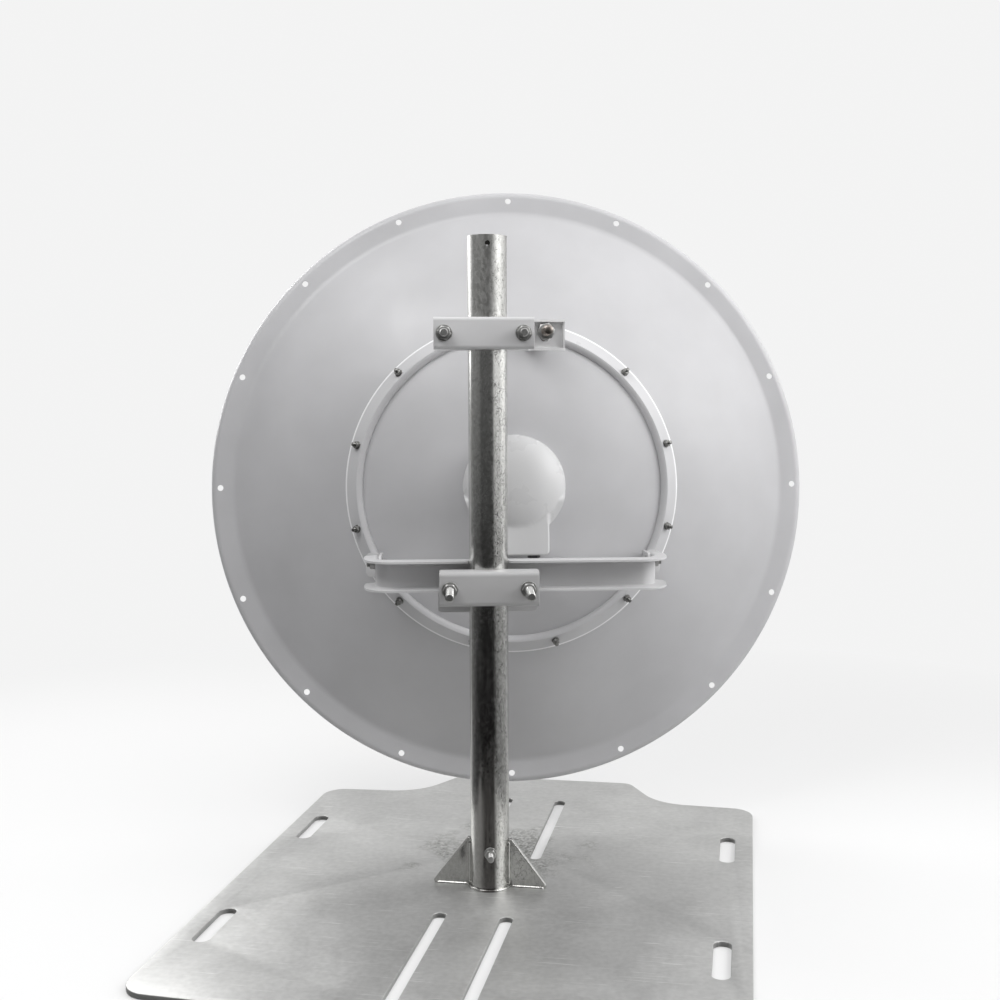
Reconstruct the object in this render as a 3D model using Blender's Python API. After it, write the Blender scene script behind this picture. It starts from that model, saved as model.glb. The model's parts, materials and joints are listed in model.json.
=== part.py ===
"""Microwave dish antenna on a tube mast with a steel floor plate.

Metres, +Z up. The origin is on the floor, on the axis of the mast, and X and Y run along the
sides of the floor plate. The mount is clamped to the mast at a small angle to the plate, so an
empty carries it. Its +Y is the way the dish looks in plan. The dish pieces are modelled in the
dish's own axes, with +Y along the boresight and the origin at the vertex of the back surface,
and a second empty, on the first, carries them to their place and tilt.
"""
import math
from typing import NamedTuple

import bmesh
import bpy
from mathutils import Matrix, Vector

# Running gap between pieces that touch
GAP = 0.0003

# Turn of the clamped mount about the mast, and the dish's place and tilt in the mount's axes
MOUNT_TURN_DEG = 13.0
DISH_X = 0.057
VERTEX_Y = 0.145
VERTEX_Z = 0.788
DISH_DROP_DEG = 4.3

# Reflector
FOCAL_LENGTH = 0.4375
BOWL_RADIUS = 0.600
SHEET = 0.003
FLANGE_BACK_Y = 0.2085
FLANGE_RADIUS = 0.641
LIP_RADIUS = 0.655
LIP_FRONT_Y = 0.240
RIM_HOLE_COUNT = 16
RIM_HOLE_CIRCLE = 0.634
RIM_HOLE_RADIUS = 0.0065
DISH_SIDES = 48

# Mounting ring on the back of the dish
RING_OUTER = 0.350
RING_INNER = 0.313
RING_SHOULDER = 0.322
RING_STAND_OFF = 0.016
RING_SHEET = 0.003
RING_SCREW_COUNT = 12
RING_SCREW_CIRCLE = 0.335
RING_SCREW_FIRST_DEG = 15.0

# Mast, foot and floor plate
MAST_RADIUS = 0.03805
MAST_WALL = 0.004
MAST_TOP = 1.280
MAST_HOLE_Z = 1.263
MAST_HOLE_RADIUS = 0.005
PLATE_THICKNESS = 0.010
PLATE_HALF_WIDTH = 0.512
PLATE_WING = 0.541
TAB_END = 0.695
TAB_HALF_WIDTH = 0.212
SHOULDER_HALF_WIDTH = 0.290
SHOULDER_Y = 0.553
PLATE_CORNER = 0.050
SHOULDER_FILLET = 0.120
TAB_CORNER = 0.035
HAND_SLOT_X = 0.459
HAND_SLOT_Y = 0.2675
HAND_SLOT_LENGTH = 0.149
HAND_SLOT_WIDTH = 0.032
LONG_SLOT_X = 0.063
LONG_SLOT_NEAR = 0.150
LONG_SLOT_FAR = 0.533
LONG_SLOT_WIDTH = 0.025
GUSSET_LENGTH = 0.074
GUSSET_HEIGHT = 0.094
GUSSET_END = 0.006
GUSSET_THICKNESS = 0.010
FOOT_BOLT_Z = 0.086
FOOT_BOLT_FRONT = 0.036

# Upper clamp
UPPER_Z = (1.0620, 1.1225)
UPPER_SHIFT_X = -0.008
UPPER_BEND = 0.007
UPPER_FLANGE_Y = -0.030
CLAMP_HALF_WIDTH = 0.095
CLAMP_SHEET = 0.005
CLAMP_FRONT_Y = -0.062
CLAMP_BOLT_X = 0.075
CLAMP_HOLE_RADIUS = 0.0088
UPPER_BOLT_END = 0.016
UPPER_REAR_RIGHT = 0.153
UPPER_REAR_FLANGE_Y = 0.004
REAR_STUB_FLANGE_Y = 0.024
REAR_STUB_STEP = 0.008
BEHIND_MAST_Y = MAST_RADIUS + GAP

# Lower clamp and cross member
LOWER_Z = (0.5735, 0.6400)
LOWER_BEND = 0.009
LOWER_FRONT_Y = -0.066
LOWER_FLANGE_Y = -0.026
LOWER_REAR_Z = (0.5450, 0.6350)
LOWER_REAR_HALF_WIDTH = 0.099
LOWER_REAR_CORNER = 0.008
LOWER_STUD_REACH = 0.095
MEMBER_Z = (0.5920, 0.6520)
MEMBER_HALF_WIDTH = 0.281
MEMBER_CORNER = 0.030
MEMBER_SHEET = 0.004
MEMBER_LEG_FLANGE = 0.022

# Pivot of the elevation joint, and its lugs on the ring
PIVOT_Y = 0.112
PIVOT_Z = 0.6335
LEG_END_RADIUS = 0.020
LUG_SHEET = 0.006
LUG_RADIUS = 0.018
LUG_BELOW = 0.030
LUG_ABOVE = 0.020
LUG_FOOT_SHEET = 0.0055
LUG_FOOT_WIDTH = 0.030
LUG_FOOT_CORNER = 0.010
NOTCH_CLEARANCE = 0.0020
STUB_FLANGE = 0.0004
MEMBER_BACK_Y = BEHIND_MAST_Y + MEMBER_SHEET + STUB_FLANGE

# Elevation rod, its slot in the upper rear channel, and its bracket on the ring
ROD_X = 0.115
ROD_Z = 1.099
ROD_FRONT_Y = -0.042
ROD_SLOT_LENGTH = 0.040
ROD_SLOT_WIDTH = 0.0236
ELEVATION_NUT_PLAY = 0.0028
BRACKET_LEFT = 0.036
BRACKET_RIGHT = 0.020
BRACKET_BELOW = 0.022
BRACKET_ABOVE = 0.024
BRACKET_SHEET = 0.004
BRACKET_FRONT = -0.004
BRACKET_NUT_PLAY = 0.0016

# Feed
COVER_RADIUS = 0.105
COVER_HALF_WIDTH = 0.069
COVER_BOTTOM = 0.141
COVER_HEIGHT = 0.062
COVER_SEAT = 0.0006
COVER_CORNER = 0.010
COVER_SIDE_MIDDLE = -0.105
GLAND_X = 0.038
GLAND_Y = -0.026
FEED_TUBE_RADIUS = 0.021
FEED_FOOT_RADIUS = 0.045
FEED_FOOT_HEIGHT = 0.008
FEED_LENGTH = 0.360
FEED_HEAD_RADIUS = 0.062


class Thread(NamedTuple):
    """A thread with its nut and washer. nut_half is half the nut's width across flats."""

    radius: float
    nut_half: float
    nut_height: float
    head_height: float
    washer_radius: float
    washer_height: float


M8 = Thread(0.0040, 0.0065, 0.0065, 0.0053, 0.0082, 0.0016)
M12 = Thread(0.0060, 0.0095, 0.0100, 0.0075, 0.0120, 0.0025)
M16 = Thread(0.0080, 0.0120, 0.0130, 0.0100, 0.0155, 0.0030)
M20 = Thread(0.0100, 0.0150, 0.0160, 0.0125, 0.0165, 0.0030)

MATERIALS = {
    "white_paint": ((0.74, 0.74, 0.73, 1.0), 0.45, 0.0),
    "cover_paint": ((0.70, 0.70, 0.68, 1.0), 0.35, 0.0),
    "galvanised": ((0.50, 0.51, 0.52, 1.0), 0.38, 0.9),
    "plate_steel": ((0.56, 0.56, 0.55, 1.0), 0.42, 0.8),
    "zinc_fastener": ((0.42, 0.42, 0.41, 1.0), 0.30, 1.0),
    "feed_metal": ((0.66, 0.67, 0.68, 1.0), 0.30, 1.0),
    "black_plastic": ((0.03, 0.03, 0.03, 1.0), 0.50, 0.0),
}


def clear_scene():
    """Remove every object that the file starts with."""
    for item in list(bpy.data.objects):
        bpy.data.objects.remove(item, do_unlink=True)


def material(name):
    """Return the named material, made on first use."""
    known = bpy.data.materials.get(name)
    if known:
        return known
    colour, roughness, metallic = MATERIALS[name]
    made = bpy.data.materials.new(name)
    made.use_nodes = True
    shader = made.node_tree.nodes["Principled BSDF"]
    shader.inputs["Base Color"].default_value = colour
    shader.inputs["Roughness"].default_value = roughness
    shader.inputs["Metallic"].default_value = metallic
    return made


def add_solid(name, bm, finish, parent=None, smooth_deg=None):
    """Turn a closed bmesh into a named object with its material."""
    bmesh.ops.recalc_face_normals(bm, faces=bm.faces)
    mesh = bpy.data.meshes.new(name)
    bm.to_mesh(mesh)
    bm.free()
    if smooth_deg:
        mesh.shade_smooth()
        mesh.set_sharp_from_angle(angle=math.radians(smooth_deg))
    solid = bpy.data.objects.new(name, mesh)
    bpy.context.scene.collection.objects.link(solid)
    solid.data.materials.append(material(finish))
    solid.parent = parent
    return solid


def add_empty(name, place, tilt_x=0.0, turn_z=0.0, parent=None):
    """Add an empty that carries a group of pieces."""
    empty = bpy.data.objects.new(name, None)
    empty.parent = parent
    empty.location = place
    empty.rotation_euler = (tilt_x, 0.0, turn_z)
    bpy.context.scene.collection.objects.link(empty)
    return empty


def ring_of(bm, points):
    """Add a closed loop of vertices."""
    return [bm.verts.new(point) for point in points]


def bridge(bm, first, second):
    """Join two loops of the same length with quads."""
    count = len(first)
    for index in range(count):
        following = (index + 1) % count
        bm.faces.new((first[index], first[following], second[following], second[index]))


def loft(sections, capped=True):
    """Join a row of closed loops, and close both ends with flat faces."""
    bm = bmesh.new()
    loops = [ring_of(bm, section) for section in sections]
    for first, second in zip(loops, loops[1:]):
        bridge(bm, first, second)
    if capped:
        bm.faces.new(loops[0])
        bm.faces.new(reversed(loops[-1]))
    else:
        bridge(bm, loops[-1], loops[0])
    return bm


def turned(profile, sides, closed=False):
    """Turn a profile of (radius, y) about the Y axis.

    A closed profile makes a ring. An open one starts and ends on the axis.
    """
    bm = bmesh.new()
    loops = []
    for radius, along in profile:
        if radius == 0.0:
            loops.append(bm.verts.new((0.0, along, 0.0)))
            continue
        points = []
        for index in range(sides):
            angle = 2.0 * math.pi * index / sides
            points.append((radius * math.sin(angle), along, radius * math.cos(angle)))
        loops.append(ring_of(bm, points))
    pairs = list(zip(loops, loops[1:]))
    if closed:
        pairs.append((loops[-1], loops[0]))
    for first, second in pairs:
        if isinstance(first, list) and isinstance(second, list):
            bridge(bm, first, second)
            continue
        pole, loop = (second, first) if isinstance(first, list) else (first, second)
        for index in range(sides):
            bm.faces.new((pole, loop[index], loop[(index + 1) % sides]))
    return bm


def prism(outline, holes, low, high, place):
    """Extrude a flat outline with holes; place turns (u, v, w) into a point."""
    bm = bmesh.new()
    edges = []
    for loop in [outline, *holes]:
        verts = ring_of(bm, [place(u, v, low) for u, v in loop])
        for index, vert in enumerate(verts):
            edges.append(bm.edges.new((vert, verts[(index + 1) % len(verts)])))
    bmesh.ops.triangle_fill(bm, use_beauty=True, edges=edges)
    lifted = bmesh.ops.extrude_face_region(bm, geom=list(bm.faces))
    moved = [item for item in lifted["geom"] if isinstance(item, bmesh.types.BMVert)]
    shift = Vector(place(0.0, 0.0, high)) - Vector(place(0.0, 0.0, low))
    bmesh.ops.translate(bm, verts=moved, vec=shift)
    return bm


def flat_xy(u, v, w):
    """Outline in the XY plane, extruded along Z."""
    return (u, v, w)


def flat_xz(u, v, w):
    """Outline in the XZ plane, extruded along Y."""
    return (u, w, v)


def flat_yz(u, v, w):
    """Outline in the YZ plane, extruded along X."""
    return (w, u, v)


def circle(centre_u, centre_v, radius, sides=12):
    """Points of a circle."""
    steps = [2.0 * math.pi * index / sides for index in range(sides)]
    return [(centre_u + radius * math.cos(a), centre_v + radius * math.sin(a)) for a in steps]


def rounded(corners, radii, steps=4):
    """Round each corner of an outline with an arc of its own radius."""
    outline = []
    count = len(corners)
    for index, corner in enumerate(corners):
        here = Vector(corner)
        before = (Vector(corners[index - 1]) - here).normalized()
        after = (Vector(corners[(index + 1) % count]) - here).normalized()
        radius = radii[index] if isinstance(radii, (list, tuple)) else radii
        half = before.angle(after) / 2.0
        middle = here + (before + after).normalized() * radius / math.sin(half)
        start = here + before * radius / math.tan(half) - middle
        sweep = start.angle_signed(here + after * radius / math.tan(half) - middle)
        for step in range(steps + 1):
            arm = Matrix.Rotation(-sweep * step / steps, 2) @ start
            outline.append(tuple(middle + arm))
    return outline


def box_outline(low_u, low_v, high_u, high_v, radius, steps=3):
    """Rectangle with rounded corners."""
    corners = [(low_u, low_v), (high_u, low_v), (high_u, high_v), (low_u, high_v)]
    return rounded(corners, radius, steps)


def slot_outline(centre_u, centre_v, length, width, steps=6):
    """Slot with round ends along v."""
    half = (length - width) / 2.0
    points = []
    for sign in (1.0, -1.0):
        for step in range(steps + 1):
            angle = math.pi * step / steps
            points.append((
                centre_u + sign * width / 2.0 * math.cos(angle),
                centre_v + sign * (half + width / 2.0 * math.sin(angle)),
            ))
    return points


def combine(solid, other_mesh, name, parent, operation):
    """Subtract a hidden shape from a solid, or unite it with the solid."""
    other = add_solid(name, other_mesh, "black_plastic", parent)
    other.hide_render = True
    other.display_type = "WIRE"
    step = solid.modifiers.new(operation.lower(), "BOOLEAN")
    step.operation = operation
    step.solver = "EXACT"
    step.object = other


def cut_away(solid, cutter_mesh, name):
    """Subtract a hidden cutter, in the solid's own axes, from a solid."""
    combine(solid, cutter_mesh, name, solid.parent, "DIFFERENCE")


def row_of_pins(ends, radius, sides=12):
    """One mesh of round bars, each from one end point to the other."""
    bm = bmesh.new()
    for low, high in ends:
        axis = Vector(high) - Vector(low)
        turn = axis.to_track_quat("Z", "Y").to_matrix().to_4x4()
        middle = (Vector(low) + Vector(high)) / 2.0
        bmesh.ops.create_cone(
            bm, cap_ends=True, segments=sides, radius1=radius, radius2=radius,
            depth=axis.length, matrix=Matrix.Translation(middle) @ turn)
    return bm


def stacked(sections, start, direction, sides=12):
    """One closed body from round and hexagonal sections along a line.

    A section is (distance, radius, shape). The shape is round, hex with its flats up and down on
    a level line, or hex_side with its flats to the sides. A hexagon's radius is half its width
    across flats.
    """
    axis = Vector(direction).normalized()
    side = axis.orthogonal().normalized()
    if abs(axis.z) < 0.9:
        side = axis.cross(Vector((0.0, 0.0, 1.0))).normalized()
    other = axis.cross(side)
    loops = []
    for distance, radius, shape in sections:
        points = []
        for index in range(sides):
            angle = 2.0 * math.pi * index / sides
            reach = radius
            if shape != "round":
                first_flat = 0.0 if shape == "hex" else math.pi / 6.0
                off_flat = (angle - first_flat + math.pi / 6.0) % (math.pi / 3.0) - math.pi / 6.0
                reach = radius / math.cos(off_flat)
            point = Vector(start) + axis * distance
            point += side * (reach * math.sin(angle)) + other * (reach * math.cos(angle))
            points.append(point)
        loops.append(points)
    return loft(loops)


def bar(size, start, end):
    """Sections of a plain stretch of a threaded bar."""
    return [(start, size.radius, "round"), (end, size.radius, "round")]


def nut(size, start, shape="hex"):
    """Sections of a nut that begins at a distance."""
    return [(start, size.nut_half, shape), (start + size.nut_height, size.nut_half, shape)]


def head(size, start):
    """Sections of a bolt's head that begins at a distance."""
    return [(start, size.nut_half, "hex"), (start + size.head_height, size.nut_half, "hex")]


def washer(size, start):
    """Sections of a washer that begins at a distance."""
    return [(start, size.washer_radius, "round"),
            (start + size.washer_height, size.washer_radius, "round")]


def back_surface(radius):
    """Depth of the reflector's back at a radius."""
    return radius * radius / (4.0 * FOCAL_LENGTH)


def front_surface(radius):
    """Depth of the reflector's front, one sheet above the back along the normal."""
    slope = radius / (2.0 * FOCAL_LENGTH)
    return back_surface(radius) + SHEET * math.sqrt(1.0 + slope * slope)


def quarter_arc(centre, radius, start_deg, end_deg, steps):
    """Points of an arc in the (radius, y) plane."""
    points = []
    for step in range(steps + 1):
        angle = math.radians(start_deg + (end_deg - start_deg) * step / steps)
        points.append((centre[0] + radius * math.cos(angle), centre[1] + radius * math.sin(angle)))
    return points


def build_reflector(dish):
    """Spun bowl with a drilled flange and a rounded lip that turns forward."""
    stretch = (BOWL_RADIUS - FEED_FOOT_RADIUS) / 6.0
    radii = [0.0] + [FEED_FOOT_RADIUS + stretch * step for step in range(7)]
    roll = LIP_RADIUS - FLANGE_RADIUS
    roll_centre = (FLANGE_RADIUS, FLANGE_BACK_Y + roll)
    back = [(radius, back_surface(radius)) for radius in radii]
    back.append((BOWL_RADIUS + 0.007, FLANGE_BACK_Y))
    back += quarter_arc(roll_centre, roll, -90.0, 0.0, 3)
    back.append((LIP_RADIUS, LIP_FRONT_Y))
    front = [(LIP_RADIUS - SHEET, LIP_FRONT_Y)]
    front += quarter_arc(roll_centre, roll - SHEET, 0.0, -90.0, 3)
    front.append((BOWL_RADIUS + 0.006, FLANGE_BACK_Y + SHEET))
    inner_radii = [BOWL_RADIUS - 0.002, *reversed(radii[:-1])]
    front += [(radius, front_surface(radius)) for radius in inner_radii]
    reflector = add_solid("reflector", turned(back + front, DISH_SIDES), "white_paint", dish, 30)
    ends = []
    for index in range(RIM_HOLE_COUNT):
        angle = 2.0 * math.pi * index / RIM_HOLE_COUNT
        across = RIM_HOLE_CIRCLE * math.sin(angle)
        upward = RIM_HOLE_CIRCLE * math.cos(angle)
        ends.append((
            (across, FLANGE_BACK_Y - 0.004, upward),
            (across, FLANGE_BACK_Y + SHEET + 0.003, upward),
        ))
    cut_away(reflector, row_of_pins(ends, RIM_HOLE_RADIUS, 8), "rim_hole_cutter")


def ring_profile():
    """Section of the mounting ring: inner wall, rounded shoulder and band down to the dish."""
    top = band_height(RING_SHOULDER)
    inner_foot = back_surface(RING_INNER) - GAP
    outer_foot = back_surface(RING_OUTER) - GAP
    bend = RING_SHOULDER - RING_INNER
    outside = [(RING_INNER, inner_foot)]
    outside += quarter_arc((RING_SHOULDER, top + bend), bend, 180.0, 270.0, 3)
    outside += [(RING_OUTER, outer_foot - RING_SHEET), (RING_OUTER, outer_foot)]
    under_edge = RING_SHOULDER + (RING_OUTER - RING_SHOULDER) * 0.78
    inside = [(under_edge, back_surface(under_edge) - GAP)]
    inside += quarter_arc((RING_SHOULDER, top + bend), bend - RING_SHEET, 270.0, 180.0, 2)
    inside.append((RING_INNER + RING_SHEET, back_surface(RING_INNER + RING_SHEET) - GAP))
    return outside + inside


def band_height(radius):
    """Depth of the ring's outer face on its band at a radius."""
    top = back_surface(RING_SHOULDER) - RING_STAND_OFF
    foot = back_surface(RING_OUTER) - GAP - RING_SHEET
    share = (radius - RING_SHOULDER) / (RING_OUTER - RING_SHOULDER)
    return top + (foot - top) * share


def band_normal():
    """Outward slope of the band as (radial part, part towards the camera side)."""
    rise = band_height(RING_OUTER) - band_height(RING_SHOULDER)
    run = RING_OUTER - RING_SHOULDER
    length = math.hypot(rise, run)
    return rise / length, -run / length


def build_ring(dish):
    """Pressed ring on the back of the bowl, with its screws."""
    add_solid("mount_ring", turned(ring_profile(), DISH_SIDES, closed=True),
              "white_paint", dish, 30)
    radial, backward = band_normal()
    height = band_height(RING_SCREW_CIRCLE)
    for index in range(RING_SCREW_COUNT):
        angle = math.radians(RING_SCREW_FIRST_DEG + 360.0 * index / RING_SCREW_COUNT)
        outward = Vector((math.sin(angle), 0.0, math.cos(angle)))
        direction = outward * radial + Vector((0.0, backward, 0.0))
        base = outward * RING_SCREW_CIRCLE + Vector((0.0, height, 0.0)) + direction * GAP
        nut_top = M8.washer_height + M8.nut_height
        sections = washer(M8, 0.0) + nut(M8, M8.washer_height) + bar(M8, nut_top, 0.0150)
        add_solid(f"ring_screw_{index + 1:02d}", stacked(sections, base, direction),
                  "zinc_fastener", dish, 30)


def keyhole_outline(steps=28):
    """Outline of the feed cover: a disc with a straight box below it."""
    join = math.acos(COVER_HALF_WIDTH / COVER_RADIUS)
    start = -join
    end = math.pi + join
    points = []
    for step in range(steps + 1):
        angle = start + (end - start) * step / steps
        points.append((COVER_RADIUS * math.cos(angle), COVER_RADIUS * math.sin(angle)))
    corner = COVER_CORNER
    inset = COVER_HALF_WIDTH - corner
    points.append((-COVER_HALF_WIDTH, COVER_SIDE_MIDDLE))
    points += quarter_arc((-inset, -COVER_BOTTOM + corner), corner, 180.0, 270.0, 3)
    points += [(inset * share, -COVER_BOTTOM) for share in (-0.6, -0.2, 0.2, 0.6)]
    points += quarter_arc((inset, -COVER_BOTTOM + corner), corner, 270.0, 360.0, 3)
    points.append((COVER_HALF_WIDTH, COVER_SIDE_MIDDLE))
    return points


def build_cover(dish):
    """Domed cover over the feed, with a box below it and a cable gland under the box."""
    outline = keyhole_outline()
    sections = []
    for scale in (0.04, 0.25, 0.50, 0.75, 1.0):
        sections.append([
            (u * scale, back_surface(math.hypot(u, v) * scale) - COVER_SEAT, v * scale)
            for u, v in outline])
    for scale in (1.0, 0.97, 0.90, 0.76, 0.55, 0.30):
        crown = (1.0 - scale ** 3.0) ** 0.5
        wall = 0.30 if scale == 1.0 else 0.30 + 0.70 * crown
        sections.append([(u * scale, -COVER_HEIGHT * wall, v * scale) for u, v in outline])
    add_solid("feed_cover", loft(sections), "cover_paint", dish, 40)
    gland = [
        (0.0, 0.0110, "hex"), (0.0060, 0.0110, "hex"),
        (0.0060, 0.0090, "round"), (0.0180, 0.0080, "round"),
    ]
    place = (GLAND_X, GLAND_Y, -COVER_BOTTOM - GAP)
    add_solid("cable_gland", stacked(gland, place, (0.0, 0.0, -1.0)), "black_plastic", dish, 30)


def build_feed(dish):
    """Feed tube on the bowl's axis, with its splash plate."""
    foot = FEED_FOOT_RADIUS
    foot_top = front_surface(foot) + FEED_FOOT_HEIGHT
    tube = [
        (0.0, front_surface(0.0) + GAP), (foot, front_surface(foot) + GAP),
        (foot, foot_top), (FEED_TUBE_RADIUS, foot_top),
        (FEED_TUBE_RADIUS, FEED_LENGTH), (0.0, FEED_LENGTH),
    ]
    add_solid("feed_tube", turned(tube, 24), "feed_metal", dish, 30)
    splash_plate = [
        (0.0, FEED_LENGTH + GAP), (0.026, FEED_LENGTH + GAP), (0.034, FEED_LENGTH + 0.030),
        (FEED_HEAD_RADIUS, FEED_LENGTH + 0.036), (FEED_HEAD_RADIUS, FEED_LENGTH + 0.046),
        (0.0, FEED_LENGTH + 0.052),
    ]
    add_solid("feed_head", turned(splash_plate, 24), "white_paint", dish, 30)


def tee_outline():
    """Outline of the floor plate: square wings with a tapered tab at each end."""
    quarter = [
        (PLATE_HALF_WIDTH, PLATE_WING, PLATE_CORNER),
        (SHOULDER_HALF_WIDTH, SHOULDER_Y, SHOULDER_FILLET),
        (TAB_HALF_WIDTH, TAB_END, TAB_CORNER),
    ]
    corners = quarter + [(-x, y, r) for x, y, r in reversed(quarter)]
    corners += [(-x, -y, r) for x, y, r in quarter]
    corners += [(x, -y, r) for x, y, r in reversed(quarter)]
    return rounded([(x, y) for x, y, _ in corners], [r for _, _, r in corners], 5)


def build_stand():
    """Floor plate, mast tube, gussets and the bolt at the mast's foot."""
    holes = []
    for across in (-1.0, 1.0):
        for along in (-1.0, 1.0):
            holes.append(slot_outline(across * HAND_SLOT_X, along * HAND_SLOT_Y,
                                      HAND_SLOT_LENGTH, HAND_SLOT_WIDTH))
            holes.append(slot_outline(
                across * LONG_SLOT_X, along * (LONG_SLOT_NEAR + LONG_SLOT_FAR) / 2.0,
                LONG_SLOT_FAR - LONG_SLOT_NEAR, LONG_SLOT_WIDTH))
    plate = prism(tee_outline(), holes, 0.0, PLATE_THICKNESS, flat_xy)
    add_solid("base_plate", plate, "plate_steel")

    foot = PLATE_THICKNESS + GAP
    inner = MAST_RADIUS - MAST_WALL
    rings = [(MAST_RADIUS, foot), (MAST_RADIUS, MAST_TOP), (inner, MAST_TOP), (inner, foot)]
    sections = []
    for radius, height in rings:
        sections.append([(x, y, height) for x, y in circle(0.0, 0.0, radius, 40)])
    mast = add_solid("mast_pipe", loft(sections, capped=False), "galvanised", None, 30)
    facing = Vector((math.sin(math.radians(MOUNT_TURN_DEG)),
                     -math.cos(math.radians(MOUNT_TURN_DEG)), 0.0))
    high = Vector((0.0, 0.0, MAST_HOLE_Z))
    drill = row_of_pins([(high + facing * 0.050, high - facing * 0.050)], MAST_HOLE_RADIUS)
    low = Vector((0.0, 0.0, FOOT_BOLT_Z))
    foot_through = [(low + facing * 0.050, low - facing * 0.050)]
    add_bars(drill, foot_through, M12.radius + GAP * 2.0, 12)
    cut_away(mast, drill, "mast_hole_cutter")

    near = MAST_RADIUS + GAP
    far = near + GUSSET_LENGTH
    for side, turn_deg in (("right", 0.0), ("left", 180.0)):
        web = [(near, foot), (far, foot), (far, foot + GUSSET_END),
               (near + GUSSET_END, foot + GUSSET_HEIGHT), (near, foot + GUSSET_HEIGHT)]
        bm = prism(web, [], -GUSSET_THICKNESS / 2.0, GUSSET_THICKNESS / 2.0, flat_xz)
        turn = Matrix.Rotation(math.radians(turn_deg), 4, "Z")
        bmesh.ops.transform(bm, matrix=turn, verts=bm.verts)
        add_solid(f"foot_gusset_{side}", bm, "galvanised")

    reach = MAST_RADIUS + GAP
    front = reach + FOOT_BOLT_FRONT
    washer_start = FOOT_BOLT_FRONT - M12.washer_height
    nut_start = washer_start - M12.nut_height
    bolt = bar(M12, 0.0, nut_start) + nut(M12, nut_start) + washer(M12, washer_start)
    bolt += bar(M12, FOOT_BOLT_FRONT, front + reach) + head(M12, front + reach)
    place = low + facing * front
    add_solid("foot_bolt", stacked(bolt, place, -facing), "zinc_fastener", None, 30)


def channel_outline(low, high, web_near, web_far, flange_tip, bend):
    """C section in the YZ plane with a rounded outer bend.

    The web lies between web_near and web_far, and web_near is its outer face.
    """
    sheet = abs(web_far - web_near)
    towards = 1.0 if web_far > web_near else -1.0
    outer = []
    for z_edge, up in ((low, 1.0), (high, -1.0)):
        arc = []
        for step in range(4):
            angle = math.radians(30.0 * step)
            arc.append((web_near + towards * bend * (1.0 - math.sin(angle)),
                        z_edge + up * bend * (1.0 - math.cos(angle))))
        outer.append(arc)
    points = [(flange_tip, low), *outer[0], *reversed(outer[1]), (flange_tip, high)]
    points += [(flange_tip, high - sheet), (web_far, high - sheet),
               (web_far, low + sheet), (flange_tip, low + sheet)]
    return points


def build_upper_clamp(mount):
    """Clamp halves and bolts round the mast near its top."""
    low, high = UPPER_Z
    front = prism(channel_outline(low, high, CLAMP_FRONT_Y, CLAMP_FRONT_Y + CLAMP_SHEET,
                                  UPPER_FLANGE_Y, UPPER_BEND), [],
                  UPPER_SHIFT_X - CLAMP_HALF_WIDTH, UPPER_SHIFT_X + CLAMP_HALF_WIDTH, flat_yz)
    front_half = add_solid("upper_clamp_front", front, "white_paint", mount)
    middle = (low + high) / 2.0
    bolt_places = [UPPER_SHIFT_X + sign * CLAMP_BOLT_X for sign in (-1.0, 1.0)]
    through = [((x, CLAMP_FRONT_Y - 0.010, middle), (x, 0.060, middle)) for x in bolt_places]
    saddle = [((0.0, 0.0, low - 0.010), (0.0, 0.0, high + 0.010))]
    front_cutter = row_of_pins(through, CLAMP_HOLE_RADIUS)
    add_bars(front_cutter, saddle, MAST_RADIUS + GAP, 40)
    cut_away(front_half, front_cutter, "upper_front_cutter")

    rear_y = BEHIND_MAST_Y
    left = UPPER_SHIFT_X - CLAMP_HALF_WIDTH
    rear_half = add_solid("upper_clamp_rear", rear_channel(left, rear_y), "white_paint", mount)
    rear_cutter = row_of_pins(through, CLAMP_HOLE_RADIUS)
    add_bars(rear_cutter, saddle, MAST_RADIUS + GAP, 40)
    slot = slot_outline(ROD_X, ROD_Z, ROD_SLOT_LENGTH, ROD_SLOT_WIDTH)
    slot_block = prism(slot, [], rear_y - 0.010, rear_y + 0.020, flat_xz)
    merge_into(rear_cutter, slot_block)
    cut_away(rear_half, rear_cutter, "upper_rear_cutter")

    washer_start = UPPER_BOLT_END + M16.nut_height
    washer_end = washer_start + M16.washer_height
    start_y = CLAMP_FRONT_Y - GAP - washer_end
    back = rear_y + CLAMP_SHEET + GAP - start_y
    for side, x in zip(("left", "right"), bolt_places):
        sections = bar(M16, 0.0, UPPER_BOLT_END) + nut(M16, UPPER_BOLT_END)
        sections += washer(M16, washer_start) + bar(M16, washer_end, back)
        sections += washer(M16, back) + head(M16, back + M16.washer_height)
        bolt = stacked(sections, (x, start_y, middle), (0.0, 1.0, 0.0))
        add_solid(f"upper_clamp_bolt_{side}", bolt, "zinc_fastener", mount, 30)


def add_bars(bm, ends, radius, sides):
    """Add more round bars to a cutter."""
    merge_into(bm, row_of_pins(ends, radius, sides))


def merge_into(bm, other):
    """Copy one bmesh into another."""
    mesh = bpy.data.meshes.new("passing")
    other.to_mesh(mesh)
    other.free()
    bm.from_mesh(mesh)
    bpy.data.meshes.remove(mesh)


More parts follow.
